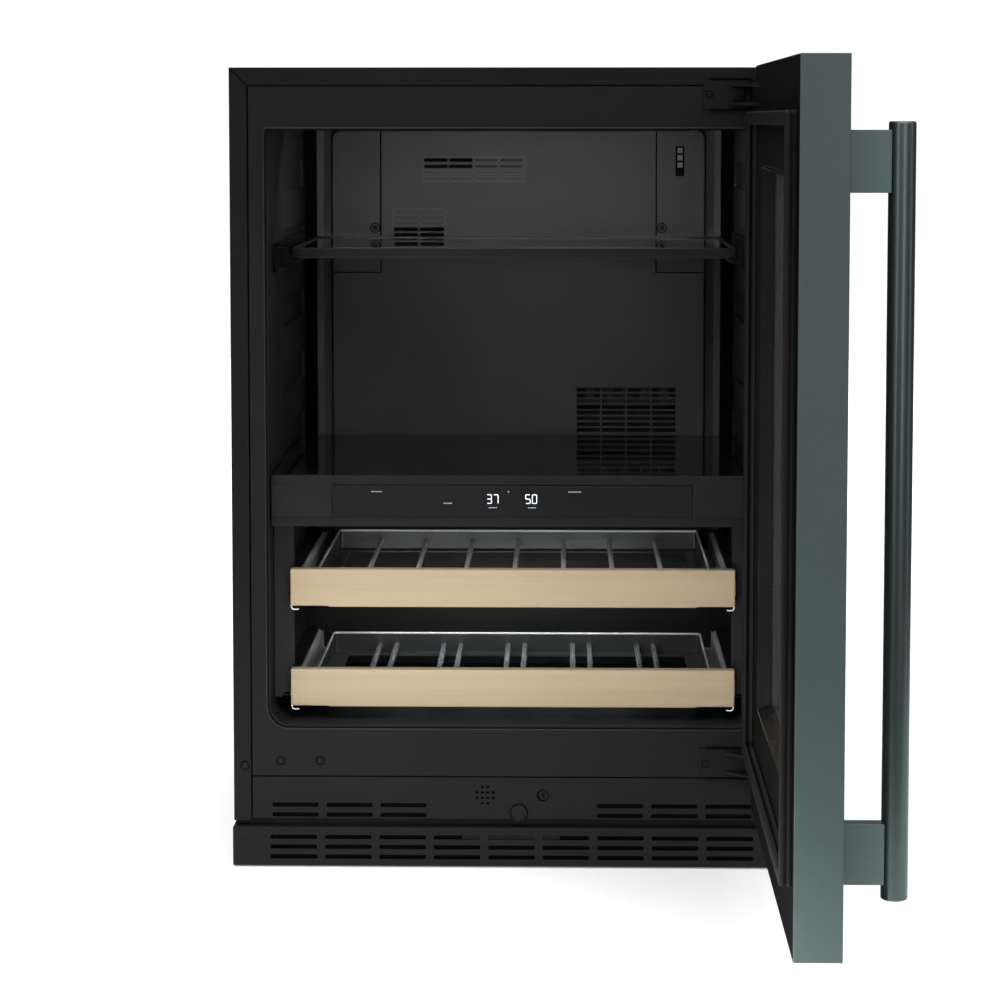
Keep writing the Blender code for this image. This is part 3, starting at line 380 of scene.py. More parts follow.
def front_of(lo, hi, radius, sides=0.0, bottom=0.0, top=0.0):
    """The outline of a box seen from the front, with its edges drawn in."""
    return rectangle((lo.x + sides, lo.z + bottom), (hi.x - sides, hi.z - top), radius)


def centred(x, y, width, height, radius):
    return rectangle((x - width / 2, y - height / 2), (x + width / 2, y + height / 2), radius)


def disc(x, y, radius):
    return centred(x, y, 2 * radius, 2 * radius, radius * 0.9999)


def slot_grid(columns, rows, width, height, radius):
    return [centred(x, y, width, height, radius) for x in columns for y in rows]


def mesh_of(curve):
    holder = bpy.data.objects.new("curve", curve)
    mesh = bpy.data.meshes.new_from_object(holder)
    bpy.data.objects.remove(holder)
    return mesh


def panel(outline, holes, back, front, edge=0.0004, rings=2):
    """A flat sheet from one depth to another with rounded holes, its edges eased."""
    flat = bpy.data.curves.new("panel", "CURVE")
    flat.dimensions = "2D"
    flat.fill_mode = "BOTH"
    flat.extrude = (front - back) / 2 - edge
    flat.bevel_depth = edge
    flat.bevel_resolution = rings - 1
    for corners, grow in [(outline, -edge)] + [(hole, edge) for hole in holes]:
        points = filleted(corners, grow)
        spline = flat.splines.new("POLY")
        spline.points.add(len(points) - 1)
        for point, place in zip(spline.points, points):
            point.co = (*place, 0, 1)
        spline.use_cyclic_u = True
    mesh = mesh_of(flat)
    mesh.transform(Matrix.Translation((0, 0, (back + front) / 2)))
    return mesh


def swept_ring(corners, section):
    """A closed frame: a section of (inset, depth) points carried round a rounded outline."""
    bm = bmesh.new()
    loops = [
        [bm.verts.new((*point, depth)) for point in filleted(corners, -inset)]
        for inset, depth in section
    ]
    for low, high in zip(loops, loops[1:] + loops[:1]):
        for k in range(len(low)):
            after = (k + 1) % len(low)
            bm.faces.new((low[k], low[after], high[after], high[k]))
    return finished(bm)


def band(outer, inner, height):
    """The section of a low flat ring between two insets."""
    return [(outer, 0), (outer, height), (inner, height), (inner, 0)]


def turned(profile, sides=48):
    """A solid of (radius, height) points spun about Z, closed where the radius is 0."""
    bm = bmesh.new()
    rings = []
    for radius, height in profile:
        if radius < 1e-6:
            rings.append([bm.verts.new((0, 0, height))])
        else:
            points = round_points(radius, 2 * math.pi / sides, sides)
            rings.append([bm.verts.new((*point, height)) for point in points])
    for low, high in zip(rings, rings[1:]):
        for k in range(sides):
            after = (k + 1) % sides
            picks = ((low, k), (low, after), (high, after), (high, k))
            corners = [ring[i % len(ring)] for ring, i in picks]
            bm.faces.new(list(dict.fromkeys(corners)))  # a ring that is one point gives it twice
    return finished(bm)


def solid(lo, hi, edge=0.0005, segments=2):
    """A block with eased edges."""
    bm = bmesh.new()
    lo, hi = Vector(lo), Vector(hi)
    size = Matrix.Diagonal((*(hi - lo), 1.0))
    bmesh.ops.create_cube(bm, size=1.0, matrix=Matrix.Translation((lo + hi) / 2) @ size)
    bmesh.ops.bevel(bm, geom=list(bm.edges), offset=edge, segments=segments, profile=0.5, affect="EDGES")
    return finished(bm)


def tube(points, radius, sides=12):
    """A round rod along points."""
    line = bpy.data.curves.new("tube", "CURVE")
    line.dimensions = "3D"
    line.bevel_depth = radius
    line.bevel_resolution = sides // 4
    line.use_fill_caps = True
    spline = line.splines.new("POLY")
    spline.points.add(len(points) - 1)
    for point, place in zip(spline.points, points):
        point.co = (*place, 1)
    return mesh_of(line)


def finished(bm):
    bmesh.ops.recalc_face_normals(bm, faces=bm.faces)
    mesh = bpy.data.meshes.new("shape")
    bm.to_mesh(mesh)
    bm.free()
    return mesh


def joined(*parts):
    """One mesh of several, each given as a mesh or as (mesh, matrix)."""
    bm = bmesh.new()
    for part in parts:
        mesh, place = part if isinstance(part, tuple) else (part, at(0, 0, 0))
        copy = mesh.copy()
        copy.transform(place)
        bm.from_mesh(copy)
    return finished(bm)


def in_scene(name, data):
    obj = bpy.data.objects.new(name, data)
    SCENE.collection.objects.link(obj)
    return obj


def piece(name, mesh, look, body, place, replaces=(), smooth=None):
    """Adds a mesh to the scene, riding on a body. smooth is the angle below which it shades round."""
    obj = in_scene(name, mesh)
    obj.matrix_world = place
    mesh.materials.append(look)
    if smooth:
        for face in mesh.polygons:
            face.use_smooth = True
        split = obj.modifiers.new("Sharp", "EDGE_SPLIT")
        split.split_angle = math.radians(smooth)
    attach(obj, body)
    if replaces:
        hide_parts(*replaces)


def front_piece(name, mesh, look, replaces=()):
    """Adds a panel that faces the front and stays with the cabinet."""
    piece(name, mesh, look, "cabinet", CABINET @ STAND, replaces)


def at(x, y, z, turn=Matrix.Identity(4)):
    return Matrix.Translation((x, y, z)) @ turn


def one_side(sign, low_x, high_x, low_z, high_z, radius):
    """A rectangle between two distances from the middle, on the left (-1) or the right (1)."""
    left, right = sorted((sign * low_x, sign * high_x))
    return rectangle((left, low_z), (right, high_z), radius)


# Fasteners


def cross_recess(reach, width):
    """The outline of a plus, for a screw's drive."""
    half = width / 2
    corners = []
    for angle in spaced(0, math.pi / 2, 4):
        turn = Matrix.Rotation(angle, 2)
        for x, y, radius in ((half, -half, 0), (reach, -half, half * 0.4), (reach, half, half * 0.4)):
            corners.append((*(turn @ Vector((x, y))), radius))
    return corners


def screw(name, spot, radius, height, look=DARK_SCREW, turn=STAND):
    """A pan head with a cross recess."""
    recess = cross_recess(radius * 0.55, radius * 0.24)
    head = panel(disc(0, 0, radius), [recess], 0.0, height, height * 0.45, 4)
    floor = panel(disc(0, 0, radius * 0.8), [], 0.0, height * 0.35, height * 0.1)
    piece(name, joined(head, floor), look, "cabinet", CABINET @ at(*spot, turn))


def ringed_screw(name, spot, radius=0.005, head=None, width=0.001):
    """A sunk screw with a shadow line round it."""
    ring = swept_ring(disc(0, 0, radius), band(0, width, 0.0003))
    piece(f"{name}_ring", ring, SHADOW_GAP, "cabinet", CABINET @ at(*spot, STAND))
    screw(name, spot, head or radius * 0.55, 0.001, BLACK_DOME)


# Cabinet front

SLOT_STEP, SLOT_HEIGHT, SLOT_ROUND = -0.0109, 0.0047, 0.0016  # of the vents below the door
SEAM = 0.0008  # extra shadow gap along the front panels' edges
OPENING_TOP = 0.8005
SIDE_SCREW_X = 0.2907


def front_frame():
    lo, hi = box_of("front_frame")
    opening = rectangle((-0.2645, 0.1526), (0.2645, OPENING_TOP), (0.022, 0.022, 0.002, 0.002))
    mesh = panel(front_of(lo, hi, 0.001, SEAM, SEAM / 2, SEAM), [opening], -hi.y, -lo.y, 0.0008, 3)
    front_piece("front_frame_panel", mesh, FRAME_PLASTIC, ["front_frame"])
    inside = front_of(lo, hi, 0.001, 0.004, 0.004, 0.004)
    around = front_of(lo, hi, 0.0005, -0.0035, -0.002, -0.003)
    place = CABINET @ at(0, lo.y, 0, STAND)
    lip = swept_ring(opening, band(-0.0006, 0.0006, 0.0004))
    piece("front_frame_opening_lip", lip, SHADOW_GAP, "cabinet", place)
    # A pale ring just outside the opening: a painted highlight on the frame's rounded edge.
    highlight_ring = swept_ring(opening, [(-0.0026, 0), (-0.0023, 0.0003), (-0.0015, 0.0003), (-0.0012, 0)])
    piece("front_frame_opening_highlight", highlight_ring, EDGE_HIGHLIGHT, "cabinet", place)
    backing = panel(around, [inside], -0.0062, -0.005)
    front_piece("front_frame_seam", backing, SHADOW_GAP)
    ringed_screw("frame_plug_left", (-0.2517, lo.y, 0.1155))
    ringed_screw("frame_plug_right", (-0.2087, lo.y, 0.1155))


def lower_panel():
    lo, hi = box_of("lower_panel")
    columns = [sign * x for _, sign in SIDES for x in spaced(0.118, 0.059, 3)]
    slots = slot_grid(columns, spaced(0.0664, SLOT_STEP, 2), 0.05, SLOT_HEIGHT, SLOT_ROUND)
    lock_hole, button_hole = disc(0.034, 0.078, 0.0065), disc(0.008, 0.0588, 0.0099)
    speaker = [
        disc(-0.029 + 0.006 * (k - (count - 1) / 2), z, 0.0013)
        for z, count in ((0.087, 2), (0.081, 4), (0.075, 4), (0.069, 2))
        for k in range(count)
    ]
    outline = front_of(lo, hi, 0.001, SEAM, 0, SEAM / 2)
    mesh = panel(outline, slots + [lock_hole, button_hole] + speaker, -hi.y, -lo.y)
    front_piece("lower_front_panel", mesh, FRAME_PLASTIC, ["lower_panel"])
    for side, sign in SIDES:
        # Near-black sheets behind the vent slots: painted shade in the machine bay behind them.
        window = one_side(sign, 0.08, 0.266, lo.z + 0.0008, hi.z - 0.002, 0.001)
        shadow_sheet = panel(window, [], -0.0052, -0.0046)
        front_piece(f"lower_panel_shadow_sheet_{side}", shadow_sheet, SHADOW_GAP)
    lock = (0.0346, 0.0776)
    plug = panel(disc(*lock, 0.0058), [centred(*lock, 0.0009, 0.005, 0.0003)], -0.006, -0.0046)
    front_piece("lock_cylinder", plug, BRACKET_PLASTIC)


def power_button():
    lo, hi = box_of("power_button")
    middle, back, front = (lo + hi) / 2, -hi.y, -lo.y
    radius, flange = 0.0088, 0.0103
    profile = [(0, back), (flange, back), (flange, back + 0.002), (radius, back + 0.0024),
               (radius, front - 0.0007), (radius - 0.0002, front - 0.0002), (radius - 0.0007, front),
               (0.003, front - 0.0002), (0, front - 0.0002)]
    place = CABINET @ at(middle.x, 0, middle.z, STAND)
    piece("power_button_cap", turned(profile), FRAME_PLASTIC, "power_button", place,
          ["power_button"], 35)


def toe_grille():
    lo, hi = box_of("toe_grille")
    back, front = 0.0052, 0.008
    rows = spaced(0.033, SLOT_STEP, 3)
    slots = slot_grid(spaced(-0.2372, 0.0593, 9), rows, 0.0504, SLOT_HEIGHT, SLOT_ROUND)
    face = panel(front_of(lo, hi, 0.0012), slots, back, front, 0.0005)
    sides = [solid((x - 0.0007, lo.y + 0.0015, lo.z + 0.0006), (x + 0.0007, hi.y, hi.z - 0.0006), 0.0004)
             for x in (0.0008 - hi.x, hi.x - 0.0008)]
    rim, reach = 0.0107, hi.x - 0.0022  # the top flange stops in front of the legs and the base pan
    flange = solid((-reach, lo.y + 0.0026, hi.z - 0.0014), (reach, rim, hi.z - 0.0004), 0.0003)
    upstand = solid((-reach, rim - 0.0008, hi.z - 0.0014), (reach, rim, 0.056), 0.0003)
    whole = joined((face, STAND), flange, upstand, *sides)
    piece("toe_grille_panel", whole, FRAME_PLASTIC, "cabinet", CABINET, ["toe_grille"])
    backing = panel(rectangle((-0.054, 0.029), (0.053, 0.0368), 0.0008), [], 0.0036, 0.0048)
    front_piece("toe_grille_catch", backing, FRAME_PLASTIC)
    # A near-black sheet behind the grille's slots: painted shade in the space under the cabinet.
    shadow_sheet = panel(rectangle((lo.x + 0.003, 0.003), (hi.x - 0.003, 0.0418), 0.001), [], 0.0018, 0.0026)
    front_piece("toe_grille_shadow_sheet", shadow_sheet, SHADOW_GAP)
    for side, sign in SIDES:
        ringed_screw(f"toe_grille_screw_{side}", (sign * SIDE_SCREW_X, -front + 0.0004, 0.031), 0.0048)


def case_details():
    """Mitre seams at the front corners of the folded case, and its screws."""
    flange = 0.019
    length = flange * math.sqrt(2) - 0.0014
    hi = box_of("outer_wrapper")[1]
    for side, sign in SIDES:
        seam = panel(rectangle((0, -0.0006), (length, 0.0006), 0.0001), [], 0, 0.0002, 0.00005)
        turn = Matrix.Rotation(math.radians(-90 - 45 * sign), 4, "Z")
        corner = at(sign * (hi.x - 0.0005), 0, hi.z - 0.0005, STAND) @ turn
        piece(f"case_mitre_{side}", seam, SHADOW_GAP, "cabinet", CABINET @ corner)
        ringed_screw(f"case_screw_{side}", (sign * SIDE_SCREW_X, 0, 0.11), 0.0052)


def hinge_details(name, z_lo):
    """A hinge bracket's screw, knuckle washers, near-black strips above and below it that paint its
    shadow, and on the top one a near-black block that paints the shade beside the hinge arms.
    """
    ringed_screw(f"hinge_{name}_screw", (0.2105, -0.0034, z_lo + 0.015), 0.0044)
    inner, outer, low, high = 0.0052, 0.0086, -0.0004, 0.0034
    for end, z in (("lower", z_lo + 0.0035), ("upper", z_lo + 0.0235)):
        washer = turned([(inner, low), (outer, low), (outer, high), (inner, high)], 40)
        place = CABINET @ at(0.2832, -0.0365, z)
        piece(f"hinge_{name}_washer_{end}", washer, PLAIN_STEEL, "cabinet", place, (), 40)
    if name == "top":
        # A near-black block beside the top bracket: painted shade between the hinge arms.
        shade_block = solid((0.237, -0.0056, z_lo + 0.0085), (0.2475, -0.0034, z_lo + 0.0225), 0.0006)
        piece(f"hinge_{name}_stop", shade_block, BRACKET_PLASTIC, "cabinet", CABINET)
    # Near-black strips above and below the bracket: its painted shadow.
    for side, z in (("below", z_lo - 0.0022), ("above", z_lo + 0.0306)):
        strip = solid((0.212, -0.004, z), (0.255, -0.0004, z + 0.002), 0.0005)
        piece(f"hinge_{name}_shadow_strip_{side}", strip, SHADOW_GAP, "cabinet", CABINET)


def rear_sheet():
    """The back panel, with its screws sunk in dimples."""
    lo, hi = box_of("rear_panel")
    low, high = 0.262, 0.844
    spots = [(sign * 0.289, z) for _, sign in SIDES for z in spaced(low, (high - low) / 4, 5)]
    spots += [(x, z) for x in (-0.1, 0.1) for z in (low, high)]
    holes = [disc(-x, z, 0.0052) for x, z in spots]
    turn = Matrix.Rotation(math.pi, 4, "Z") @ STAND
    sheet = panel(front_of(lo, hi, 0.0005), holes, lo.y, hi.y, 0.0005)
    piece("rear_panel_sheet", sheet, GALVANISED, "cabinet", CABINET @ turn, ["rear_panel"])
    for k, (x, z) in enumerate(spots):
        screw(f"rear_panel_screw_{k:02}", (x, lo.y - 0.0002, z), 0.0042, 0.0014, turn=turn)


# Levelling legs


def leg(name):
    lo, hi = box_of(name)
    middle = (lo + hi) / 2
    pad = (hi.x - lo.x) / 2
    foot = turned([(0, 0), (pad - 0.0022, 0), (pad - 0.0006, 0.0006), (pad, 0.002), (pad, 0.0048),
                   (pad - 0.0008, 0.0062), (pad - 0.004, 0.0074), (0.0105, 0.0088), (0.0, 0.0088)])
    hexagon = [(*point, 0.0008) for point in round_points(0.0108, math.pi / 3, 6)]
    nut = panel(hexagon, [], 0.008, 0.0142, 0.0006)
    thread = [(0, 0.0136)]
    root, crest, pitch = 0.0042, 0.0049, 0.0015
    for z in spaced(0.0142, pitch, 46):
        thread += [(root, z), (crest, z + 0.0007)]
    thread += [(root, hi.z - 0.0012), (0.003, hi.z), (0, hi.z)]
    place = CABINET @ at(middle.x, middle.y, 0)
    piece(f"{name}_foot", joined(foot, nut), FRAME_PLASTIC, name, place, [name], 35)
    piece(f"{name}_stem", turned(thread, 24), PLAIN_STEEL, name, place, (), 35)


# Interior

OUTLET, INLET = (0.0285, 0.0042, 0.0018), (0.0296, 0.0045, 0.0018)  # a vent's width, height, rounding
DUCT_TOP, COVER_HALF = 0.7985, 0.2278


def cover_sheet(outline, holes):
    """A thin front over the rear cover."""
    front = -box_of("evaporator_cover")[0].y
    return panel(outline, holes, front - 0.0002, front + 0.0006, 0.0003)


def rear_cover_face():
    """The rear cover's front, which gives its vents their rounded ends, and its closed vents."""
    lo = box_of("evaporator_cover")[0]
    duct = box_of("right_duct_cover")[0]
    front, seam, split = -lo.y, duct.x - SEAM, duct.z - SEAM
    right = [(COVER_HALF, lo.z), (COVER_HALF, split), (seam, split), (seam, DUCT_TOP)]
    outline = [(*point, 0.0005) for point in right + [(-x, z) for x, z in reversed(right)]]
    outlets, outlet_rows = spaced(-0.1015, 0.031, 4), spaced(0.762, -0.0075, 4)
    inlets, inlet_rows = spaced(-0.138, 0.032, 2), spaced(0.6985, -0.0071, 6)
    slots = slot_grid(outlets, outlet_rows, *OUTLET) + slot_grid(inlets, inlet_rows, *INLET)
    slots += slot_grid(spaced(0.0866, 0.0309, 4), spaced(0.4795, -0.0071, 8), 0.029, 0.0048, 0.0016)
    front_piece("evaporator_cover_face", cover_sheet(outline, slots), COVER_PLASTIC)
    for name, look, low, high in (
        ("outlet_lower", COVER_PLASTIC, (outlets[0] - 0.015, 0.7366), (outlets[3] + 0.015, 0.75)),
        # The upper right closed vents get a darker backing: painted shade in their recess.
        ("outlet_right", COVER_SHADE, (outlets[2] - 0.015, 0.7505), (outlets[3] + 0.015, 0.765)),
        ("inlet_upper", COVER_PLASTIC, (inlets[0] - 0.0155, 0.6812), (inlets[1] + 0.0155, 0.7015)),
    ):
        blank = panel(rectangle(low, high, 0.001), [], front - 0.0009, front - 0.0003, 0.0001)
        front_piece(f"{name}_blank", blank, look)
    closed = slot_grid(outlets, outlet_rows[2:], *OUTLET)
    closed += slot_grid(outlets[2:], outlet_rows[:2], *OUTLET)
    closed += slot_grid(inlets, inlet_rows[:3], *INLET)
    closed += [centred(-0.055, 0.7508, 0.125, 0.03, 0.002),
               centred(-0.122, 0.6808, 0.064, 0.044, 0.002)]
    raised = band(-0.0006, 0.0001, 0.0003)
    outlines = joined(*((swept_ring(slot, raised), at(0, 0, front + 0.0005)) for slot in closed))
    # The closed vents' raised rims are paler than the cover: a painted highlight.
    front_piece("closed_vent_outlines", outlines, COVER_HIGHLIGHT)


def duct_cover_face(side, sign):
    """A duct cover's front, the shadow lines along two of its edges, and its screw."""
    duct, front = box_of("right_duct_cover")[0], -box_of("evaporator_cover")[0].y
    corners = (0.0005, 0.0005, 0.0115, 0.0005) if sign > 0 else (0.0005, 0.0005, 0.0005, 0.0115)
    outline = one_side(sign, duct.x + SEAM, COVER_HALF, duct.z + SEAM / 2, DUCT_TOP, corners)
    holes = []
    if sign > 0:
        gap = 0.0004
        holes = [front_of(*box_of("sensor_grille"), 0.0006, -gap, -gap, -gap)]
    front_piece(f"{side}_duct_cover_face", cover_sheet(outline, holes), COVER_PLASTIC)
    strips = (one_side(sign, 0.1665, 0.171, duct.z, DUCT_TOP, 0.0002),
              one_side(sign, 0.1665, COVER_HALF, duct.z - SEAM - 0.001, duct.z + 0.001, 0.0002))
    seams = joined(*(panel(strip, [], front - 0.0001, front + 0.0001, 0.00002) for strip in strips))
    front_piece(f"{side}_duct_cover_seam", seams, SHADOW_GAP)
    spot = (sign * 0.176, -front - 0.0006, 0.679)
    ringed_screw(f"{side}_duct_screw", spot, 0.0062, 0.0034, 0.0012)


def rear_cover_edges():
    """The flange that seats the rear cover on the liner's back wall, and beside it a near-black strip that
    paints the shade in the gap to the liner.
    """
    lo, hi = box_of("evaporator_cover")
    face, corner = -lo.y, 0.2286
    reach, inner, shadow_reach = 0.249, 0.2385, 0.2636
    outline = rectangle((-reach, lo.z), (reach, hi.z + 0.0006), 0.001)
    hole = rectangle((-inner, lo.z + 0.004), (inner, hi.z - 0.004), 0.001)
    flange = panel(outline, [hole], -0.4904, -0.488, 0.0006)
    # The flange is paler than the cover plastic: a painted highlight.
    front_piece("rear_cover_flange", flange, COVER_HIGHLIGHT)
    for side, sign in SIDES:
        # A near-black strip between the cover and the liner's side wall: painted shade in the gap.
        outline = one_side(sign, reach + 0.0006, shadow_reach, lo.z + 0.001, hi.z, 0.0005)
        strip = panel(outline, [], -0.4914, -0.4866)
        front_piece(f"rear_cover_gap_shadow_{side}", strip, SHADOW_GAP)
        outline = one_side(sign, corner, corner + 0.001, lo.z + 0.006, hi.z - 0.0045, 0.0003)
        line = panel(outline, [], face - 0.0002, face + 0.0004, 0.0001)
        front_piece(f"rear_cover_edge_{side}", line, SHADOW_GAP)
        start, end = Vector((sign * corner, 0.4722, 0)), Vector((sign * 0.2414, 0.4898, 0))
        if sign < 0:
            start, end = end, start
        along, up = (end - start).normalized(), Vector((0, 0, 1))
        place = Matrix((along, up, along.cross(up))).transposed().to_4x4()
        place.translation = start
        # The flanks are far paler than the cover: painted light.
        outline = rectangle((0.0004, lo.z + 0.002), ((end - start).length - 0.0004, DUCT_TOP), 0.0005)
        cheek = panel(outline, [], 0.0001, 0.0004, 0.0001)
        piece(f"rear_cover_flank_{side}", cheek, COVER_FLANK_LIT, "cabinet", CABINET @ place)


def sensor_window():
    """The sensor's framed grille: three pale cells over a dark one."""
    lo, hi = box_of("sensor_grille")
    face, middle, width = -lo.y, (lo.x + hi.x) / 2, hi.x - lo.x - 0.0034
    cells = slot_grid([middle], spaced(hi.z - 0.005, -0.0088, 4), width, 0.0066, 0.0008)
    bezel = panel(front_of(lo, hi, 0.0008), cells, face, face + 0.0008, 0.0003)
    front_piece("sensor_bezel", bezel, SHADOW_GAP)
    window = front_of(lo, hi, 0.0005, 0.0008, 0.01, 0.0008)
    lens = panel(window, [], face - 0.0004, face + 0.0002, 0.0001)
    front_piece("sensor_lens", lens, SENSOR_LENS)


LAMP_Y = 0.2


def ceiling_lamp():
    """A frosted light strip on the liner's ceiling."""
    place = CABINET @ at(0, 0, OPENING_TOP - 0.0001)
    section = [(0, 0), (0, -0.0016), (0.0006, -0.0022), (0.002, -0.0022), (0.0026, 0)]
    rim = swept_ring(centred(0, LAMP_Y, 0.4, 0.022, 0.006), section)
    piece("ceiling_lamp_rim", rim, LINER_PLASTIC, "cabinet", place)
    lens = panel(centred(0, LAMP_Y, 0.396, 0.018, 0.005), [], -0.0018, -0.0002)
    piece("ceiling_lamp_lens", lens, LAMP, "cabinet", place)


# Divider and control panel

SEGMENTS = {"a": ((0, 1), (1, 1)), "b": ((1, 1), (1, 0.5)), "c": ((1, 0.5), (1, 0)), "d": ((0, 0), (1, 0)),
            "e": ((0, 0), (0, 0.5)), "f": ((0, 0.5), (0, 1)), "g": ((0, 0.5), (1, 0.5))}
LIT_SEGMENTS = {"0": "abcdef", "3": "abcdg", "5": "acdfg", "7": "abc"}


def digit(figure, width, height, stroke):
    """One seven-segment figure, drawn from its lower left corner."""
    bars = []
    for name in LIT_SEGMENTS[figure]:
        start, end = (Vector((x * width, y * height)) for x, y in SEGMENTS[name])
        along = (end - start).normalized()
        across = Vector((-along.y, along.x)) * stroke / 2
        start, end = start + along * stroke * 0.6, end - along * stroke * 0.6
        tip = along * stroke / 2
        outline = [start - tip, start - across, end - across, end + tip, end + across, start + across]
        bars.append(panel([(*p, 0.0) for p in outline], [], 0.0, 0.00006, 0.00001, 1))
    return joined(*bars)


def control_panel():
    """The display's lit figures, and the small marks of its touch keys."""
    front = -box_of("control_panel")[0].y
    width, height, stroke, step = 0.0048, 0.0094, 0.0008, 0.0072
    for name, figures, x in (("left", "37", -0.0272), ("right", "50", 0.0148)):
        parts = [
            (digit(figure, width, height, stroke), at(x + step * k, 0.3962, front))
            for k, figure in enumerate(figures)
        ]
        front_piece(f"display_{name}_digits", joined(*parts), DIGITS)
    rows = [(-0.152, 0.4088, 5), (-0.0735, 0.3962, 4), (0.062, 0.4088, 6), (-0.0245, 0.3914, 4),
            (0.018, 0.3914, 4), (-0.004, 0.4088, 1)]  # x, z and the number of dashes
    keys = [
        panel(centred(x + 0.0024 * k, z, 0.0016, 0.0008, 0.0003), [], front, front + 0.00006, 0.00001, 1)
        for x, z, count in rows
        for k in range(count)
    ]
    front_piece("display_key_marks", joined(*keys), MARKS)


# Racks

TRAY_HALF, TRAY_SHEET = 0.2205, 0.0015
TRAY_FOOT = 0.005  # from the wood front's lower edge up to the tray's underside


def rack_tray(name, depth, lip):
    """The folded rim with its rolled top edge, and the bars: round ones above, flat ones below."""
    body = f"{name}_rack"
    z, near = box_of(f"{name}_rack_front")[0].z, box_of(f"{name}_rack_tray")[0].y
    far, bottom, top = depth + TRAY_SHEET, z + TRAY_FOOT, z + 0.031
    floor, bead = bottom + TRAY_SHEET, 0.0014
    outline = rectangle((-TRAY_HALF, near + 0.00055), (TRAY_HALF, far - 0.00055), 0.006)
    section = [(0, bottom + 0.0008), (0, top - 0.0016), (TRAY_SHEET, top - 0.0016),
               (TRAY_SHEET, floor + 0.001), (TRAY_SHEET + 0.001, floor), (lip - 0.0004, floor),
               (lip, floor - 0.0004), (lip, bottom), (0.0008, bottom)]
    rim = swept_ring(outline, section)
    piece(f"{name}_tray_rim", rim, TRAY_STEEL, body, CABINET, [f"{name}_rack_tray"], 40)
    circle = [(0.0009 + inset, top - bead + rise) for inset, rise in round_points(bead, math.pi / 6, 12)]
    edge = swept_ring(outline, circle)
    # The rolled edge is near white: a painted highlight along the tray's top.
    piece(f"{name}_tray_rolled_edge", edge, STEEL_HIGHLIGHT, body, CABINET, (), 60)
    near, far = near + 0.001, far - 0.001
    if name == "upper":
        look, height = ROUND_BAR_STEEL, z + 0.016
        bars = [tube([(x, near, height), (x, far, height)], 0.003, 24) for x in spaced(-0.168, 0.056, 7)]
    else:
        look, half = BAR_STEEL, 0.0032
        bars = [solid((x - half, near, z + 0.012), (x + half, far, z + 0.018), 0.0022, 4)
                for middle in spaced(-0.154, 0.077, 5) for x in (middle - 0.01, middle + 0.01)]
    piece(f"{name}_tray_bars", joined(*bars), look, body, CABINET, (), 45)


def beam(sign, inner, outer, near, far, low, high, *edges):
    """A block between two distances from the middle, on the left (-1) or the right (1)."""
    left, right = sorted((sign * inner, sign * outer))
    return solid((left, near, low), (right, far, high), *edges)


def rack_rails(name):
    """A stepped rail along each side of the rack, with a dark cap at its back end."""
    z, back = box_of(f"{name}_rack_front")[0].z, box_of(f"{name}_rack_tray")[1].y
    bottom, low, high, front, cap = z + TRAY_FOOT, z + 0.0124, z + 0.0266, 0.064, 0.006
    for side, sign in SIDES:
        rail = joined(beam(sign, TRAY_HALF - 0.0005, 0.2365, front, back, bottom, bottom + TRAY_SHEET),
                      beam(sign, 0.235, 0.2365, front, back, bottom, z + 0.0265),
                      beam(sign, 0.236, 0.2436, front, back - cap, low, high))
        piece(f"{name}_rail_{side}", rail, PLAIN_STEEL, f"{name}_rack", CABINET)
        end_cap = beam(sign, 0.2366, 0.2436, back - cap, back, low, high, 0.0012, 3)
        piece(f"{name}_rail_cap_{side}", end_cap, BLACK_DOME, f"{name}_rack", CABINET)


def rack_front_clips(name):
    """A bent clip at each lower corner of the wood front, which holds it to its rail."""
    lo, hi = box_of(f"{name}_rack_front")
    bends = [(0, 0.0012, 0.0052), (0, 0.0008, 0.0002), (0.001, 0.0008, -0.0022),
             (0.004, 0.0008, -0.003), (0.008, 0.0008, -0.0026)]
    for side, sign in SIDES:
        points = [(sign * (hi.x - 0.001 - x), lo.y + y, lo.z + z) for x, y, z in bends]
        # The clips are near white: a painted highlight.
        piece(f"{name}_front_clip_{side}", tube(points, 0.0007), STEEL_HIGHLIGHT, f"{name}_rack",
              CABINET, (), 60)


# Door

HINGE_POCKETS = (0.0995, 0.1315), (0.8225, 0.8535)


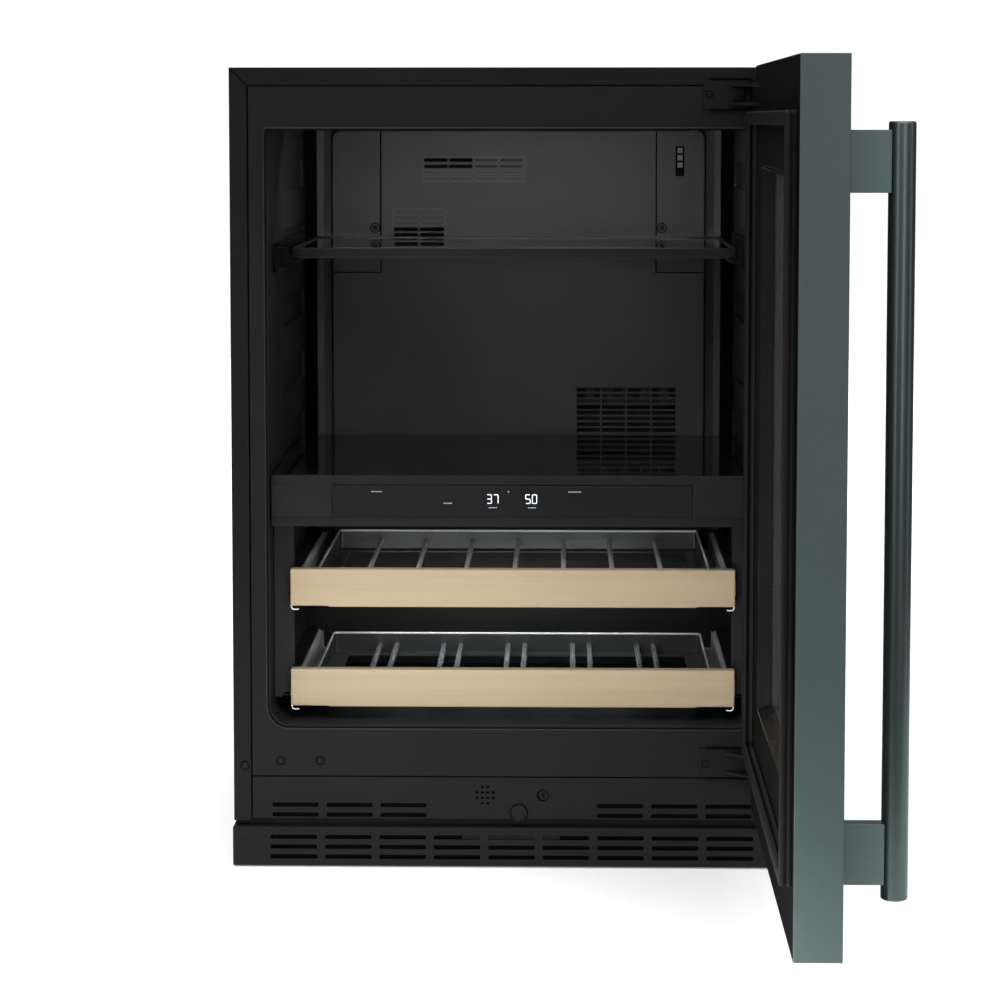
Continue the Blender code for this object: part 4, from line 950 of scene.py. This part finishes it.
def door_liner():
    """The liner's flat inner face, the sloped reveal that leads down to the window, and the tape that
    hides the pane's edge."""
    inner = box_of("door_liner", DOOR)[1].y
    skin_lo, skin_hi = box_of("door_skin", DOOR)
    face, glass_depth, tape_end = -inner - 0.0002, 0.0259, 0.0304
    slope, inset = 0.0094, 0.0012
    mouth = rectangle((-0.195 - slope, 0.205 - slope), (0.195 + slope, 0.756 + slope), 0.004)
    left, right = skin_lo.x + inset, skin_hi.x - inset
    outline = [(left, skin_lo.z + inset, 0.002), (right, skin_lo.z + inset, 0.002)]
    for low, high in HINGE_POCKETS:
        outline += [(right, low, 0.0005), (0.235, low, 0.001), (0.235, high, 0.001), (right, high, 0.0005)]
    outline += [(right, skin_hi.z - inset, 0.002), (left, skin_hi.z - inset, 0.002)]
    sheet = panel(outline, [mouth], face, face + 0.0014)
    piece("door_liner_face", sheet, DOOR_PLASTIC, "door", DOOR @ STAND, ["door_liner"])
    tape = swept_ring(rectangle((-0.2047, 0.1953), (0.2047, 0.7657), 0.0003),
                      [(0, face + 0.004), (0, tape_end), (0.00015, tape_end), (0.00015, face + 0.004)])
    piece("door_pane_edge_tape", tape, SHADOW_GAP, "door", DOOR @ STAND)
    section = [(-0.0006, face + 0.0004), (0.0004, face + 0.0002), (0.0014, face + 0.0006),
               (slope - 0.001, glass_depth - 0.0012), (slope, glass_depth - 0.001), (slope, glass_depth),
               (slope - 0.002, glass_depth), (-0.0006, face + 0.003)]
    reveal = swept_ring(mouth, section)
    piece("door_window_reveal", reveal, DOOR_REVEAL, "door", DOOR @ STAND, (), 30)


def door_hinge_pockets():
    """Moulded cups that line the recesses the hinge arms fold into."""
    left, right, deep, mouth, wall, ease = 0.2351, 0.3012, -0.0503, -0.0125, 0.0004, 0.0001
    for name, (low, high) in zip(("bottom", "top"), HINGE_POCKETS):
        walls = [solid((left, deep, low), (right, deep + wall, high), ease),
                 solid((left, deep, low), (left + wall, mouth, high), ease),
                 solid((left, deep, low + ease), (right, mouth, low + ease + wall), ease),
                 solid((left, deep, high - ease - wall), (right, mouth, high - ease), ease)]
        piece(f"door_hinge_pocket_{name}", joined(*walls), DOOR_PLASTIC, "door", DOOR)


def door_seal():
    """The gasket's bellows and magnet bulb, carried round the door's inner face."""
    lo, hi = box_of("door_gasket", DOOR)
    back, front, width = -hi.y, -lo.y, 0.014
    section = [(0.0, front - 0.0008), (0.0, front - 0.003), (0.0022, front - 0.0048),
               (0.001, front - 0.0068), (0.0004, back + 0.0016), (0.0016, back),
               (width - 0.0036, back), (width - 0.001, back + 0.0012), (width, back + 0.0034),
               (width - 0.0008, front - 0.0062), (width - 0.003, front - 0.0046),
               (width - 0.0006, front - 0.0026), (width, front - 0.0006), (width - 0.0006, front),
               (0.0006, front)]
    ring = swept_ring(front_of(lo, hi, 0.004), section)
    piece("door_seal", ring, RUBBER, "door", DOOR @ STAND, ["door_gasket"], 50)


def handle():
    """The round grip, with eased ends."""
    lo, hi = box_of("handle_bar", DOOR)
    middle = (lo + hi) / 2
    radius = (hi.x - lo.x) / 2 - 0.0004  # inside the CAD bar's flats
    ease = 0.0022
    arc = round_points(ease, math.pi / 10, 6)
    foot = [(radius - ease + y, lo.z + ease - x) for x, y in arc]
    top = [(radius - ease + x, hi.z - ease + y) for x, y in arc]
    bar = turned([(0, lo.z), *foot, *top, (0, hi.z)], 72)
    place = DOOR @ at(middle.x, middle.y, 0)
    piece("handle_grip", bar, GREEN_BAR, "door", place, ["handle_bar"], 40)


# Stage

DOME_LOW, DOME_HIGH = 0.1, 3.2
FLOOR_REACH, FLOOR_MIDDLE = (1.5, 4.0), (0, 3.0)
COOL, WARM = (0.97, 0.99, 1.0), (1.0, 0.995, 0.98)


def area_light(name, spot, target, width, height, power, colour=(1.0, 1.0, 1.0), mirrored=True):
    """A soft lamp that the camera doesn't see. mirrored says whether glass and metal show it."""
    data = bpy.data.lights.new(name, "AREA")
    data.energy = power
    data.color = colour
    data.shape = "RECTANGLE"
    data.size = width
    data.size_y = height
    lamp = in_scene(name, data)
    lamp.location = CABINET @ Vector(spot)
    aim = CABINET @ Vector(target) - lamp.location
    lamp.rotation_euler = aim.to_track_quat("-Z", "Y").to_euler()
    lamp.visible_camera = False
    lamp.visible_glossy = mirrored
    lamp.visible_transmission = mirrored


def studio_world():
    """A soft dome, brightest overhead and towards the front. The camera sees plain white,
    also through glass."""
    world = bpy.data.worlds.new("studio")
    SCENE.world = world
    sky = Nodes(world)
    backdrop = sky.tree.nodes["Background"]
    sky.set(backdrop, {"Color": (1, 1, 1, 1), "Strength": 1.1})
    brightest = Vector((0, -0.3, 0.95)).normalized()
    facing = sky.add("VectorMath", {1: brightest}, operation="DOT_PRODUCT")
    sky.link(sky.add("TexCoord").outputs["Generated"], facing.inputs[0])
    reach = {"From Min": 0.4, "From Max": 1.0, "To Min": DOME_LOW, "To Max": DOME_HIGH}
    level = sky.add("MapRange", reach)
    sky.link(facing.outputs["Value"], level.inputs["Value"])
    dome = sky.add("Background", {"Color": (1.0, 1.0, 0.995, 1)})
    sky.link(level.outputs["Result"], dome.inputs["Strength"])
    seen = sky.add("LightPath")
    plain = sky.add("Math", operation="MAXIMUM")
    sky.link(seen.outputs["Is Camera Ray"], plain.inputs[0])
    sky.link(seen.outputs["Is Transmission Ray"], plain.inputs[1])
    either = sky.add("MixShader")
    sky.link(plain.outputs[0], either.inputs["Fac"])
    sky.link(dome.outputs[0], either.inputs[1])
    sky.link(backdrop.outputs[0], either.inputs[2])
    sky.link(either.outputs[0], sky.tree.nodes["World Output"].inputs["Surface"])


def stage():
    pale = (0.93, 0.93, 0.93)
    floor_look = Look("pale_floor", pale, 0.8, Specular_IOR_Level=0.1)
    floor_look.tint(floor_look.noise(0.7), pale, 0.01)
    floor_look.set(floor_look.shader, {"Emission Color": (1, 1, 1, 1), "Emission Strength": 0.14})
    bm = bmesh.new()
    bmesh.ops.create_grid(bm, x_segments=8, y_segments=8, size=1.0)
    floor = in_scene("floor", finished(bm))
    floor.data.materials.append(floor_look.material)
    floor.scale = (*FLOOR_REACH, 1)
    floor.location = CABINET @ Vector((*FLOOR_MIDDLE, -0.0002))
    studio_world()
    area_light("key_left", (-1.35, -2.55, 1.15), (0.1, 0, 0.5), 0.3, 2.2, 10)
    area_light("key_right", (0.95, -2.6, 1.1), (0, 0, 0.5), 0.3, 1.8, 8)
    area_light("floor_fill", (-0.08, -0.75, 0.042), (-0.08, 0, 0.042), 0.5, 0.05, 3.4, mirrored=False)
    area_light("side_right", (2.75, -1.0, 1.1), (0.35, -0.58, 0.5), 0.22, 2.2, 6)
    area_light("cavity", (0, LAMP_Y, 0.797), (0, 0.36, 0.55), 0.4, 0.03, 1.15, WARM)
    area_light("under_shelf", (0, 0.33, 0.655), (0, 0.47, 0.6), 0.36, 0.02, 0.05)
    area_light("rack_front", (0, 0.07, 0.366), (0, 0.105, 0.26), 0.4, 0.02, 0.06, COOL)
    area_light("rack_bars", (0, 0.215, 0.368), (0, 0.235, 0.29), 0.42, 0.012, 0.12, COOL)
    area_light("rack_middle", (-0.02, 0.27, 0.27), (-0.02, 0.32, 0.15), 0.3, 0.02, 0.2, COOL)


def camera():
    """From the front, a little right of the middle and below the case's top, looking down 5 degrees."""
    data = bpy.data.cameras.new("camera")
    data.sensor_width = 36.0
    data.lens = 108.37
    data.shift_y = -0.1192
    data.clip_end = 60.0
    view = in_scene("camera", data)
    view.location = CABINET @ Vector((0.05472, -3.2267, 0.8106))
    down, left = 0.0863, 0.0209  # how far it turns from straight in, in radians
    view.rotation_euler = (math.pi / 2 - down, 0, left)
    SCENE.camera = view
    SCENE.view_settings.view_transform = "Standard"


def build():
    dress_cad_nodes()
    front_frame()
    lower_panel()
    power_button()
    toe_grille()
    case_details()
    rear_sheet()
    hinge_details("top", 0.823)
    hinge_details("bottom", 0.1)
    for name in fnmatch.filter(NODES, "leg_*"):
        leg(name)
    rear_cover_face()
    for side, sign in SIDES:
        duct_cover_face(side, sign)
    rear_cover_edges()
    sensor_window()
    ceiling_lamp()
    control_panel()
    for name, depth, lip in (("upper", 0.446, 0.016), ("lower", 0.35, 0.02)):
        rack_tray(name, depth, lip)
        rack_rails(name)
        rack_front_clips(name)
    door_liner()
    door_hinge_pockets()
    door_seal()
    handle()
    stage()
    camera()


def write_sizes():
    import json


build()
write_sizes()
